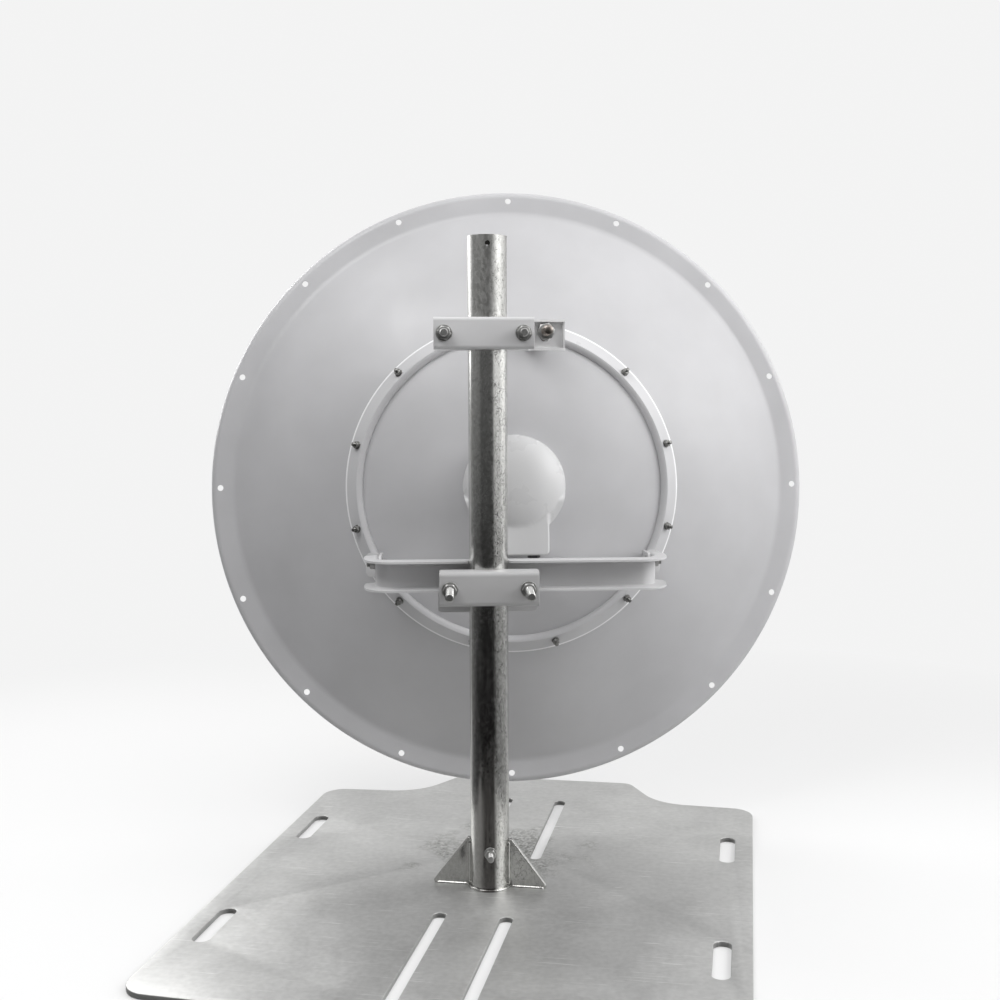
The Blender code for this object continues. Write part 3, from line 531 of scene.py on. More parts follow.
class Stack:
    """Turned, threaded and hexagonal stretches that follow each other along a line.

    Each row holds, for every angle round the line, a distance along it and a reach from it.
    """

    def __init__(self, size: Thread = M12, sides: int = 48) -> None:
        """Start an empty stack of a thread's size, with a number of angles round the line."""
        self.size = size
        self.angles = np.linspace(0.0, 2.0 * np.pi, sides, endpoint=False)
        self.rows: list[Array] = []

    @property
    def at(self) -> float:
        """Distance that the stack has reached."""
        return float(self.rows[-1][-1, 0, 0]) if self.rows else 0.0

    def turned(self, profile: Sequence[Floats]) -> "Stack":
        """Add a round stretch from rows of (distance, radius)."""
        rows = np.asarray(profile, float)[:, None, :]
        self.rows.append(np.broadcast_to(rows, (len(rows), len(self.angles), 2)))
        return self

    def tip(self, *shares: Floats) -> "Stack":
        """Add a chamfer from rows of (distance from here, share of the radius)."""
        return self.turned([(self.at + along, self.size.radius * share)
                            for along, share in shares])

    def dome(self, share: float, rise: float) -> "Stack":
        """Begin with a dome.

        Its rows are (rise (1 - cos t), share of the radius times sin t) for t from 12 to 90
        degrees.
        """
        turn = np.radians(np.linspace(12.0, 90.0, 8))
        return self.turned(stacked(rise * (1.0 - np.cos(turn)),
                                   self.size.radius * share * np.sin(turn)))

    def shank(self, end: float) -> "Stack":
        """Add a plain stretch up to a distance."""
        return self.turned(((self.at, self.size.radius), (end, self.size.radius)))

    def washer(self, edge: float = 0.0004) -> "Stack":
        """Add the size's washer.

        Args:
            edge: Width of the broken edges.

        Returns:
            The stack itself.
        """
        start, radius = self.at, self.size.washer_radius
        end = start + self.size.washer_height
        return self.turned(((start, radius - edge), (start + edge, radius),
                            (end - edge, radius), (end, radius - edge)))

    def hexagon(self, half: float, height: float, flats: Flats,
                bevels: tuple[bool, bool] = (True, True)) -> "Stack":
        """Add a hexagon.

        The reach is half / cos(angle off the nearest flat), cut by a cone that opens at 30
        degrees from a circle of 0.95 half on each bevelled face, so each flat ends in a curve.

        Args:
            half: Half the width across flats.
            height: Its height.
            flats: Which way the flats face.
            bevels: Whether the first and the last face are bevelled.

        Returns:
            This stack.
        """
        start, end = self.at, self.at + height
        sixth = np.pi / 3.0
        off_flat = (self.angles - math.radians(flats.value) + sixth / 2.0) % sixth - sixth / 2.0
        full = half / np.cos(off_flat)
        depth = half * np.array((0.0, 0.02, 0.045, 0.075, 0.12))
        distance = np.concatenate((start + depth, end - depth[::-1]))[:, None]
        reach = np.broadcast_to(full, (len(distance), len(full)))
        for bevelled, from_face in zip(bevels, (distance - start, end - distance)):
            if bevelled:
                reach = np.minimum(reach, half * 0.95 + from_face * math.sqrt(3.0))
        self.rows.append(stacked(distance, reach))
        return self

    def nut(self, flats: Flats, bevels: tuple[bool, bool] = (True, True)) -> "Stack":
        """Add the size's nut."""
        return self.hexagon(self.size.nut_half, self.size.nut_height, flats, bevels)

    def head(self, flats: Flats, bevels: tuple[bool, bool] = (False, True)) -> "Stack":
        """Add the size's bolt head."""
        return self.hexagon(self.size.nut_half, self.size.head_height, flats, bevels)

    def thread(self, end: float, gap: float = 0.0) -> "Stack":
        """Add a threaded stretch.

        The reach is the radius less the groove's depth times a triangle wave of distance / pitch
        - angle / turn, and the groove fades out over one pitch at each end.

        Args:
            end: Where it ends.
            gap: How far ahead of the last row it begins.

        Returns:
            This stack.
        """
        start, pitch = self.at + gap, self.size.pitch
        count = max(2, int(round((end - start) / pitch * ROWS_A_TURN)))
        distance = np.linspace(start, end, count + 1)[:, None]
        phase = (distance / pitch - self.angles / (2.0 * np.pi)) % 1.0
        wave = np.abs(2.0 * phase - 1.0)
        fade = np.clip(np.minimum(distance - start, end - distance) / pitch, 0.0, 1.0)
        reach = self.size.radius - GROOVE * pitch * wave * fade
        self.rows.append(stacked(distance, reach))
        return self

    def surface(self, start: Floats, along: Floats, across: Floats) -> Array:
        """Wrap the rows round a line, with both ends closed on it.

        Args:
            start: Point of the line where the distance is 0.
            along: Direction of the line.
            across: Direction of angle 0.

        Returns:
            A grid of start + along d + (across cos a + other sin a) reach.
        """
        rows = np.concatenate(self.rows)
        ends = rows[[0, -1]]
        ends[..., 1] = 0.0
        rows = np.concatenate((ends[:1], rows, ends[1:]))
        direction = unit(np.asarray(along, float))
        side = np.asarray(across, float)
        side = unit(side - direction * (side @ direction))
        other = np.cross(direction, side)
        spokes = np.cos(self.angles)[:, None] * side + np.sin(self.angles)[:, None] * other
        return np.asarray(start) + rows[..., :1] * direction + rows[..., 1:] * spokes


class Tree:
    """Adds nodes to a node tree."""

    def __init__(self, tree: bpy.types.NodeTree) -> None:
        """Work on a tree."""
        self.tree = tree

    def node(self, kind: str, inputs: dict | None = None, **settings: object) -> bpy.types.Node:
        """Add a node.

        Args:
            kind: Type of the node.
            inputs: Sockets and constants by the name or number of the input that they feed.
            settings: Properties of the node.

        Returns:
            The node.
        """
        made = self.tree.nodes.new(kind)
        for name, setting in settings.items():
            setattr(made, name, setting)
        for key, value in (inputs or {}).items():
            if isinstance(value, Socket):
                self.tree.links.new(value, made.inputs[key])
            else:
                made.inputs[key].default_value = value
        return made

    def math(self, operation: str, first: Socket, second: Socket | float = 0.0) -> Socket:
        """Combine a socket with another socket or a number."""
        return self.node("ShaderNodeMath", {0: first, 1: second}, operation=operation).outputs[0]

    def times(self, first: Socket, second: Socket | float) -> Socket:
        """Product of a socket and another socket or a number."""
        return self.math("MULTIPLY", first, second)

    def plus(self, first: Socket, second: Socket) -> Socket:
        """Sum of two sockets."""
        return self.math("ADD", first, second)

    def spread(self, socket: Socket, low: float, high: float, to_low: float = 0.0,
               to_high: float = 1.0) -> Socket:
        """Map a factor's range from low to high to another range, held at its ends."""
        inputs = dict(enumerate((socket, low, high, to_low, to_high)))
        return self.node("ShaderNodeMapRange", inputs).outputs[0]

    def parts(self, vector: Socket) -> bpy.types.NodeOutputs:
        """A vector's x, y and z."""
        return self.node("ShaderNodeSeparateXYZ", {0: vector}).outputs

    def length(self, vector: Socket) -> Socket:
        """A vector's length."""
        return self.node("ShaderNodeVectorMath", {0: vector}, operation="LENGTH").outputs[1]


class Bench(Tree):
    """Lays out one material's nodes round its shader."""

    def __init__(self, name: str, colour: Floats, roughness: float, metallic: float) -> None:
        """Make the material.

        Args:
            name: Name of the material.
            colour: Base colour, linear.
            roughness: Roughness of the shader.
            metallic: Metallic value of the shader.
        """
        self.material = bpy.data.materials.new(name)
        self.material.use_nodes = True
        super().__init__(self.material.node_tree)
        self.shader = self.tree.nodes["Principled BSDF"]
        self.shader.inputs["Base Color"].default_value = (*colour, 1.0)
        self.shader.inputs["Roughness"].default_value = roughness
        self.shader.inputs["Metallic"].default_value = metallic
        self.place = self.tree.nodes.new("ShaderNodeTexCoord").outputs["Object"]

    def mapped(self, scale: Floats, turn_z: float = 0.0,
               shift: Floats = (0.0, 0.0, 0.0)) -> Socket:
        """Object coordinates stretched, turned and moved.

        Args:
            scale: Scale along each axis.
            turn_z: Turn about Z in degrees.
            shift: Shift along each axis.

        Returns:
            The vector socket.
        """
        inputs = {"Vector": self.place, "Scale": scale, "Location": shift,
                  "Rotation": (0.0, 0.0, math.radians(turn_z))}
        return self.node("ShaderNodeMapping", inputs).outputs[0]

    def noise(self, scale: float, detail: float = 2.0, vector: Socket | None = None,
              distortion: float = 0.0) -> Socket:
        """Noise, on Object coordinates unless a vector is given.

        Args:
            scale: Waves a metre, about.
            detail: Octaves.
            vector: Coordinates to read instead.
            distortion: How far the noise is warped.

        Returns:
            The factor socket.
        """
        inputs = {"Vector": vector or self.place, "Scale": scale, "Detail": detail,
                  "Distortion": distortion}
        return self.node("ShaderNodeTexNoise", inputs).outputs["Fac"]

    def mix(self, factor: Socket, first: Socket | Floats, second: Socket | Floats) -> Socket:
        """Colour that goes from one to another.

        Args:
            factor: How much of the second.
            first: First colour, a socket or a constant.
            second: Second colour.

        Returns:
            The mixed colour.
        """
        pair = [part if isinstance(part, Socket) else (*part, 1.0) for part in (first, second)]
        return self.node("ShaderNodeMix", {0: factor, 6: pair[0], 7: pair[1]},
                         data_type="RGBA").outputs[2]

    def bump(self, height: Socket, strength: float, distance: float,
             under: Socket | None = None) -> Socket:
        """Surface relief.

        Args:
            height: Height factor.
            strength: Strength of the relief.
            distance: Height of the relief in metres.
            under: Normal of a coarser relief under this one.

        Returns:
            The normal socket.
        """
        inputs = {"Height": height, "Strength": strength, "Distance": distance}
        if under is not None:
            inputs["Normal"] = under
        return self.node("ShaderNodeBump", inputs).outputs[0]

    def feed(self, colour: Socket, rough: Socket, relief: Socket) -> bpy.types.Material:
        """Link base colour, roughness and normal to the shader, and return the material."""
        for name, socket in (("Base Color", colour), ("Roughness", rough), ("Normal", relief)):
            self.tree.links.new(socket, self.shader.inputs[name])
        return self.material


def scaled(colour: Floats, share: float) -> tuple[float, ...]:
    """A colour times a number."""
    return tuple(part * share for part in colour)


@dataclass(frozen=True)
class PowderCoat:
    """Light powder coat: orange peel, faint mottling, dust, a few rubbed marks and, where a
    highlight radius is set, a painted highlight along a round edge.
    """

    name: str
    colour: Triple
    roughness: float = 0.42
    mottling: float = 0.05
    dust: float = 0.10
    peel: float = 0.10
    centre: Triple = (0.0, 0.0, 0.0)
    axis: Triple = (0.0, 1.0, 0.0)
    # Distance from the axis beyond which the coat carries a painted highlight; 0 paints none
    highlight_radius: float = 0.0

    def painted_edge_highlight(self, bench: Bench, colour: Socket) -> Socket:
        """Painted highlight on a round edge: a lighter coat beyond a distance from a line through
        the centre.

        Args:
            bench: The material's bench.
            colour: The coat's colour.

        Returns:
            The colour with the painted highlight on its edge.
        """
        away = bench.node("ShaderNodeVectorMath", {0: bench.place, 1: self.centre},
                          operation="SUBTRACT").outputs[0]
        across = bench.node("ShaderNodeVectorMath", {0: away, 1: self.axis},
                            operation="CROSS_PRODUCT").outputs[0]
        edge = bench.spread(bench.length(across), self.highlight_radius - 0.0008,
                            self.highlight_radius)
        # Near-white colour of the painted highlight that the round edge would catch
        light = bench.mix(bench.noise(40.0, 3.0), (0.90, 0.90, 0.91), (0.96, 0.96, 0.97))
        return bench.mix(edge, colour, light)

    def material(self) -> bpy.types.Material:
        """Make the material.

        Returns:
            The material, linked and ready for a piece.
        """
        bench = Bench(self.name, self.colour, self.roughness, 0.0)
        dusty = (*scaled(self.colour[:2], 0.78), self.colour[2] * 0.74)
        broad = bench.spread(bench.noise(5.0, 4.0), 0.30, 0.70)
        coat = bench.mix(broad, scaled(self.colour, 1.0 - 2.0 * self.mottling), self.colour)
        grain = bench.spread(bench.noise(260.0, 3.0), 0.52, 0.74)
        patch = bench.spread(bench.noise(9.0, 5.0, distortion=0.6), 0.46, 0.78, 0.0, self.dust)
        film = bench.plus(bench.times(grain, patch), bench.times(patch, 0.5))
        colour = bench.mix(film, coat, dusty)
        # Painted highlight along a round edge
        if self.highlight_radius > 0.0:
            colour = self.painted_edge_highlight(bench, colour)
        rough = bench.spread(bench.noise(14.0, 5.0), 0.30, 0.72,
                             self.roughness - 0.07, self.roughness + 0.10)
        return bench.feed(colour, rough, bench.bump(bench.noise(330.0, 1.5), self.peel, 0.0006))


@dataclass(frozen=True)
class Galvanised:
    """Hot-dip zinc on tube: spangle, runs, veins, a darker and rougher top that dims the mirrored
    lamps, and painted shade: a dark band down the tube's middle that deepens to near black at the
    foot, and a near-black bore.
    """

    name: str
    bright: Triple = (0.82, 0.82, 0.80)
    dark: Triple = (0.68, 0.68, 0.655)
    vein: Triple = (0.17, 0.165, 0.16)
    spangle: float = 260.0
    # Heights over which the painted shade down the mast's middle fades out, and its deeper part
    painted_shade_band: Pair = (0.25, 0.75)
    painted_deep_shade_band: Pair = (0.15, 0.45)
    # Heights over which the top turns darker and rougher
    dull_band: Pair = (1.08, 1.14)
    front_turn: float = -13.0
    bore: float = 0.0368

    def material(self) -> bpy.types.Material:
        """Make the material.

        Returns:
            The material, linked and ready for a piece.
        """
        bench = Bench(self.name, self.bright, 0.34, 1.0)
        squat = bench.mapped((1.0, 1.0, 0.6))
        spangle = bench.node("ShaderNodeTexVoronoi", {"Vector": squat, "Scale": self.spangle})
        facets = bench.node("ShaderNodeSeparateColor", {0: spangle.outputs["Color"]}).outputs[0]
        runs = bench.noise(120.0, 5.0, bench.mapped((1.0, 1.0, 0.12)), 0.3)
        cloud = bench.noise(70.0, 6.0, squat, 0.9)
        blotch = bench.spread(cloud, 0.50, 0.66)
        mixture = bench.plus(bench.times(facets, 0.45), bench.times(runs, 0.55))
        shade = bench.spread(mixture, 0.22, 0.78)
        chalk = bench.mix(bench.noise(160.0, 4.0), (0.60, 0.60, 0.58), (0.86, 0.86, 0.85))
        colour = bench.mix(bench.times(blotch, 0.30), bench.mix(shade, self.dark, self.bright),
                           chalk)

        # Darker, rougher zinc above about 1.1 m, which dims the lamps mirrored near the top
        height = bench.parts(bench.place)[2]
        ragged = bench.plus(height, bench.spread(cloud, 0.3, 0.7, -0.02, 0.02))
        duller_top = bench.spread(ragged, *self.dull_band)
        dull = bench.mix(mixture, (0.32, 0.32, 0.305), (0.60, 0.60, 0.585))
        colour = bench.mix(bench.times(duller_top, 0.7), colour, dull)

        # Painted shade: a band down the tube's middle darkens from about 0.75 m down, in place of
        # the dark room mirrored there
        ragged = bench.plus(height, bench.spread(runs, 0.3, 0.7, -0.10, 0.10))
        painted_shade_amount = bench.plus(bench.spread(ragged, *self.painted_shade_band, 0.66, 0.0),
                             bench.spread(ragged, *self.painted_deep_shade_band, 0.26, 0.0))
        # Mask of the painted shade: full in a band down the tube's middle, seen along the mount's
        # forward axis, weaker to each side
        aside = bench.parts(bench.mapped((1.0, 1.0, 1.0), self.front_turn))[0]
        front = bench.times(bench.spread(aside, 0.007, 0.014, 1.0, 0.15),
                            bench.spread(aside, -0.030, -0.010, 0.25, 1.0))
        # Colour of the painted shade: dark zinc, near black towards the foot
        painted_shade_colour = bench.mix(bench.spread(ragged, *self.painted_deep_shade_band, 1.0, 0.0),
                            bench.mix(shade, (0.21, 0.195, 0.19), (0.27, 0.25, 0.245)),
                            bench.mix(shade, (0.08, 0.075, 0.072), (0.12, 0.11, 0.105)))
        colour = bench.mix(bench.times(painted_shade_amount, front), colour, painted_shade_colour)

        waves = bench.noise(170.0, 3.0, bench.mapped((1.0, 1.0, 0.45)), 1.2)
        middle = bench.math("ABSOLUTE", bench.math("SUBTRACT", waves, 0.5))
        veins = bench.times(bench.spread(middle, 0.006, 0.034, 1.0, 0.0),
                            bench.spread(cloud, 0.36, 0.54, 0.0, 0.90))
        veins = bench.times(veins, bench.spread(aside, 0.002, 0.010, 0.35, 1.0))
        colour = bench.mix(veins, colour, self.vein)

        rough = bench.plus(bench.spread(shade, 0.0, 1.0, 0.15, 0.24), bench.times(blotch, 0.03))
        rough = bench.plus(rough, bench.times(duller_top, 0.20))
        # Painted shade in the bore: near-black, rough zinc inside the tube's inner radius
        reach = bench.length(bench.mapped((1.0, 1.0, 0.0)))
        inside = bench.spread(reach, self.bore - 0.0003, self.bore, 1.0, 0.0)
        bore_shade = bench.mix(runs, (0.020, 0.020, 0.018), (0.060, 0.058, 0.054))
        colour = bench.mix(inside, colour, bore_shade)
        rough = bench.math("MAXIMUM", rough, bench.times(inside, 0.7))
        waves = bench.bump(bench.noise(60.0, 3.0, bench.mapped((1.0, 1.0, 0.16))), 0.07, 0.0010)
        return bench.feed(colour, rough, bench.bump(mixture, 0.10, 0.0004, waves))


@dataclass(frozen=True)
class PlateSteel:
    """Galvanised floor plate: matt zinc, long scratches, scuffs and a worn patch."""

    name: str
    colour: Triple = (0.62, 0.62, 0.61)
    worn_place: Pair = (-0.025, 0.185)
    worn_radius: float = 0.18
    scratch_sets: tuple[Pair, ...] = ((20.0, 0.0), (105.0, 3.0), (62.0, 7.0))

    def scratches(self, bench: Bench, turn_deg: float, shift: float) -> Socket:
        """Thin lines in one direction: a narrow band of a noise stretched along them.

        Args:
            bench: The material's bench.
            turn_deg: Direction of the lines.
            shift: Offset that makes each set its own.

        Returns:
            A factor, 1 on the lines.
        """
        place = bench.mapped((9.0, 300.0, 1.0), turn_deg, (shift, shift, 0.0))
        thin = bench.spread(bench.noise(1.0, 2.0, place, 0.6), 0.655, 0.70)
        place = bench.mapped((1.0, 1.0, 1.0), 0.0, (shift, 0.0, 0.0))
        return bench.times(thin, bench.spread(bench.noise(7.0, 3.0, place), 0.48, 0.62))

    def material(self) -> bpy.types.Material:
        """Make the material.

        Returns:
            The material, linked and ready for a piece.
        """
        bench = Bench(self.name, self.colour, 0.42, 0.75)
        broad = bench.spread(bench.noise(6.0, 6.0, distortion=0.5), 0.32, 0.70)
        fine = bench.spread(bench.noise(85.0, 6.0), 0.30, 0.72)
        shade = bench.plus(bench.times(broad, 0.55), bench.times(fine, 0.45))
        metal = bench.mix(shade, scaled(self.colour, 0.70), self.colour)
        x, y = scaled(self.worn_place, -1.0 / self.worn_radius)
        reach = bench.length(bench.mapped((1.0 / self.worn_radius,) * 3, 0.0, (x, y, 0.0)))
        ragged = bench.plus(reach, bench.spread(bench.noise(14.0, 6.0), 0.25, 0.75, -0.6, 0.6))
        crumbs = bench.spread(bench.noise(110.0, 6.0, distortion=1.2), 0.42, 0.56)
        patch = bench.times(bench.spread(ragged, 0.35, 1.0, 1.0, 0.0), crumbs)
        colour = bench.mix(bench.times(patch, 0.85), metal,
                           bench.mix(fine, (0.14, 0.14, 0.13), (0.30, 0.30, 0.28)))
        first, second, third = (self.scratches(bench, *row) for row in self.scratch_sets)
        marks = bench.math("MAXIMUM", bench.math("MAXIMUM", first, second), third)
        colour = bench.mix(bench.times(marks, 0.55), colour,
                           bench.mix(marks, (0.80, 0.80, 0.79), (0.84, 0.84, 0.83)))
        rough = bench.plus(bench.spread(shade, 0.0, 1.0, 0.40, 0.52), bench.times(patch, 0.14))
        grain = bench.bump(bench.noise(420.0, 3.0), 0.10, 0.0003)
        return bench.feed(colour, rough, bench.bump(bench.times(marks, -1.0), 0.18, 0.0002, grain))


@dataclass(frozen=True)
class PlatedSteel:
    """Plated fastener metal: fine grain, dull clouds and dirt that tints it."""

    name: str
    colour: Triple
    dirt: Triple = (0.10, 0.09, 0.08)
    roughness: float = 0.30
    soiling: float = 0.45

    def material(self) -> bpy.types.Material:
        """Make the material.

        Returns:
            The material, linked and ready for a piece.
        """
        bench = Bench(self.name, self.colour, self.roughness, 1.0)
        fine = bench.spread(bench.noise(900.0, 3.0), 0.30, 0.70)
        dull = scaled(self.colour, 0.80)
        cloud = bench.spread(bench.noise(170.0, 4.0, distortion=0.8), 0.42, 0.66)
        soil = bench.times(cloud, self.soiling)
        colour = bench.mix(soil, bench.mix(fine, dull, self.colour),
                           bench.mix(fine, self.dirt, dull))
        rough = bench.plus(bench.spread(fine, 0.0, 1.0, self.roughness - 0.05,
                                        self.roughness + 0.05), bench.times(soil, 0.25))
        return bench.feed(colour, rough, bench.bump(bench.noise(700.0, 3.0), 0.12, 0.0002))


@dataclass(frozen=True)
class TurnedAluminium:
    """Plain turned metal: fine rings across the boresight and a light haze."""

    name: str
    colour: Triple = (0.66, 0.67, 0.68)

    def material(self) -> bpy.types.Material:
        """Make the material.

        Returns:
            The material, linked and ready for a piece.
        """
        bench = Bench(self.name, self.colour, 0.28, 1.0)
        rings = bench.noise(1.0, 3.0, bench.mapped((2.0, 1700.0, 2.0), -13.0))
        haze = bench.spread(bench.noise(24.0, 5.0), 0.30, 0.72)
        colour = bench.mix(bench.times(haze, rings), self.colour, scaled(self.colour, 0.82))
        return bench.feed(colour, bench.spread(haze, 0.0, 1.0, 0.22, 0.40),
                          bench.bump(rings, 0.08, 0.0002))


@dataclass(frozen=True)
class MattPlastic:
    """Matt black moulded plastic with a fine grain and grey dust."""

    name: str
    colour: Triple = (0.070, 0.070, 0.072)

    def material(self) -> bpy.types.Material:
        """Make the material.

        Returns:
            The material, linked and ready for a piece.
        """
        bench = Bench(self.name, self.colour, 0.55, 0.0)
        dust = bench.spread(bench.noise(60.0, 5.0), 0.45, 0.75, 0.0, 0.35)
        colour = bench.mix(dust, self.colour, (0.16, 0.16, 0.15))
        rough = bench.spread(bench.noise(90.0, 3.0), 0.3, 0.7, 0.48, 0.66)
        return bench.feed(colour, rough, bench.bump(bench.noise(1100.0, 2.0), 0.25, 0.0003))


class Finishes:
    """The finishes of all slots, made once."""

    def __init__(self, dish: Axes) -> None:
        """Make each slot's material.

        Args:
            dish: The dish's axes.
        """
        # The ring's coat paints a highlight on its outer round edge, beyond 0.3472 m from the
        # dish's axis
        self.ring = PowderCoat("ring_coat_painted_highlight", (0.64, 0.638, 0.65), 0.34, 0.04, 0.08, 0.08,
                               tuple(dish.origin.tolist()), tuple(dish.ahead.tolist()),
                               0.3472).material()
        made = {
            Slot.DISH_PAINT: PowderCoat("dish_coat", (0.600, 0.598, 0.612)),
            Slot.BRACKET_PAINT: PowderCoat("bracket_coat", (0.64, 0.638, 0.645), 0.38, 0.04, 0.16,
                                           0.07),
            Slot.COVER_PAINT: PowderCoat("cover_coat", (0.70, 0.70, 0.705), 0.30, 0.03, 0.08,
                                         0.05),
            # The mast's zinc carries painted shade down its middle and in its bore
            Slot.GALVANISED: Galvanised("mast_zinc_painted_shade"),
            Slot.PLATE_STEEL: PlateSteel("plate_zinc"),
            Slot.FASTENER: PlatedSteel("fastener_zinc", (0.56, 0.56, 0.55), roughness=0.40),
            Slot.FEED_METAL: TurnedAluminium("turned_aluminium"),
            Slot.BLACK_PLASTIC: MattPlastic("moulded_black"),
        }
        self.by_slot = {slot: finish.material() for slot, finish in made.items()}
        # Painted shade: a darker copy of the bracket coat for the lower clamp's front channel
        self.painted_shade_coat = PowderCoat("clamp_coat_painted_shade", (0.48, 0.478, 0.482), 0.40, 0.05, 0.16,
                                 0.07).material()
        self.dull = PlatedSteel("screw_zinc", (0.34, 0.34, 0.33), roughness=0.28,
                                soiling=0.60).material()
        # Painted light: a paler copy of the bracket coat that lightens the rear channel's shaded
        # pocket
        self.pale = PowderCoat("channel_coat_painted_light", (0.90, 0.898, 0.905), 0.38, 0.03, 0.10,
                               0.07).material()
        self.browned = PlatedSteel("rod_zinc", (0.40, 0.36, 0.33), (0.07, 0.05, 0.04)).material()


@dataclass(frozen=True)
class Assembly:
    """A sub-assembly: the finishes that dress it and the axes that it is laid out in."""

    finishes: Finishes
    axes: Axes
    rides_on: ClassVar[Body] = Body.MOUNT

    def fit(self, piece: Piece, slot: Slot, *nodes: str, body: Body | None = None,
            material: bpy.types.Material | None = None) -> None:
        """Dress a piece, hang it on its body and let it stand for its CAD nodes.

        Args:
            piece: The finished mesh object.
            slot: The slot that its finish belongs to.
            nodes: The CAD nodes that it replaces.
            body: Another body than the assembly's.
            material: Another material of the same slot.
        """
        body = body or self.rides_on
        piece.data.materials.append(material or self.finishes.by_slot[slot])
        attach(piece, body.value)
        if nodes:
            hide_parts(*nodes)
        LOG.info("%s rides on %s with %d faces", piece.name, body.value,
                 len(piece.data.polygons))

    def turned(self, name: str, node: str, stack: Stack, start: Floats,
               along: Floats = (0.0, 1.0, 0.0), across: Floats = (0.0, 0.0, 1.0),
               slot: Slot = Slot.FASTENER, **dress: object) -> None:
        """Make a piece from a stack that stands on a line.

        Args:
            name: Name of the piece.
            node: The CAD node that it replaces.
            stack: Its stretches.
            start: Where the stack begins.
            along: The line's direction.
            across: Direction of the stack's angle 0.
            slot: The slot that its finish belongs to.
            dress: Another body or material.
        """
        shell = Shell(self.axes).tube(stack.surface(start, along, across))
        self.fit(shell.solid(name), slot, node, **dress)


@dataclass(frozen=True)
class Reflector(Assembly):
    """Spun bowl with a drilled flange and a lip that rolls forward."""

    rides_on: ClassVar[Body] = Body.DISH
    focal_length: float = 0.4375
    bowl_radius: float = 0.597
    sheet: float = 0.003
    flange_y: float = 0.2085
    flange_start: float = 0.6125
    flange_radius: float = 0.641
    lip_radius: float = 0.655
    lip_front: float = 0.240
    hole_count: int = 16
    hole_circle: float = 0.634
    hole_radius: float = 0.0065
    columns_a_hole: int = 20
    bowl_rows: int = 44

    def back(self, radius: Array | float) -> Array | float:
        """Depth of the back: radius squared / 4 focal lengths."""
        return radius * radius / (4.0 * self.focal_length)

    def front(self, radius: Array | float) -> Array | float:
        """Depth of the front, one sheet above the back along the normal."""
        slope = radius / (2.0 * self.focal_length)
        return self.back(radius) + self.sheet * np.sqrt(1.0 + slope * slope)

    def face(self, radii: Array, depths: Array, level: float) -> Array:
        """Profile of one face: the bowl, a blend and the start of the flange.

        The blend is a parabola through three points: the bowl's edge, the crossing of the bowl's
        tangent with the flange's level, and a point as far out along the flange.

        Args:
            radii: Radii of the bowl's rows.
            depths: This face's depth at them.
            level: This face's level on the flange.

        Returns:
            Rows of (radius, y).
        """
        slope = self.bowl_radius / (2.0 * self.focal_length)
        crossing = self.bowl_radius + (level - depths[-1]) / slope
        start, corner, end = np.array(((self.bowl_radius, depths[-1]), (crossing, level),
                                       (2.0 * crossing - self.bowl_radius, level)))
        share = np.linspace(0.0, 1.0, 9)[1:, None]
        blend = ((1.0 - share) ** 2 * start + 2.0 * share * (1.0 - share) * corner
                 + share ** 2 * end)
        return joined(stacked(radii, depths), blend, (self.flange_start, level))

    def lip(self) -> Array:
        """Section of the lip: out round the roll, forward, over a round tip and back inside.

        Returns:
            Rows of (radius, y).
        """
        roll, tip = self.lip_radius - self.flange_radius, self.sheet / 2.0
        centre = (self.flange_radius, self.flange_y + roll)
        return joined(arc(centre, roll, -90.0, 0.0, 12),
                      arc((self.lip_radius - tip, self.lip_front - tip), tip, 0.0, 180.0, 8),
                      arc(centre, roll - self.sheet, 0.0, -90.0, 10))

    def holes(self, shell: Shell) -> None:
        """Add the drilled flange: a pierced cell a hole on each face, and the holes' walls.

        Args:
            shell: The reflector's shell.
        """
        half = np.pi / self.hole_count
        spread = np.linspace(-half, half, self.columns_a_hole + 1)
        ray = stacked(np.sin(spread), np.cos(spread))
        cell = pierced(self.flange_radius * ray, self.flange_start * ray,
                       (0.0, self.hole_circle), self.hole_radius)
        back, front = (lifted(cell, self.flange_y + rise) for rise in (0.0, self.sheet))
        for turn in 2.0 * half * np.arange(self.hole_count):
            spin = np.array(((math.cos(turn), 0.0, -math.sin(turn)), (0.0, 1.0, 0.0),
                             (math.sin(turn), 0.0, math.cos(turn))))
            shell.tube(back @ spin, front @ spin, np.stack((back[0], front[0])) @ spin)

    def build(self) -> None:
        """Make the reflector."""
        radii = np.linspace(0.0, self.bowl_radius, self.bowl_rows)
        back = self.face(radii, self.back(radii), self.flange_y)
        front = self.face(radii, self.front(radii), self.flange_y + self.sheet)
        shell = Shell(self.axes).spun(back, self.lip(), front,
                                      columns=self.hole_count * self.columns_a_hole)
        self.holes(shell)
        self.fit(shell.solid("spun_reflector", 28.0), Slot.DISH_PAINT, "reflector")


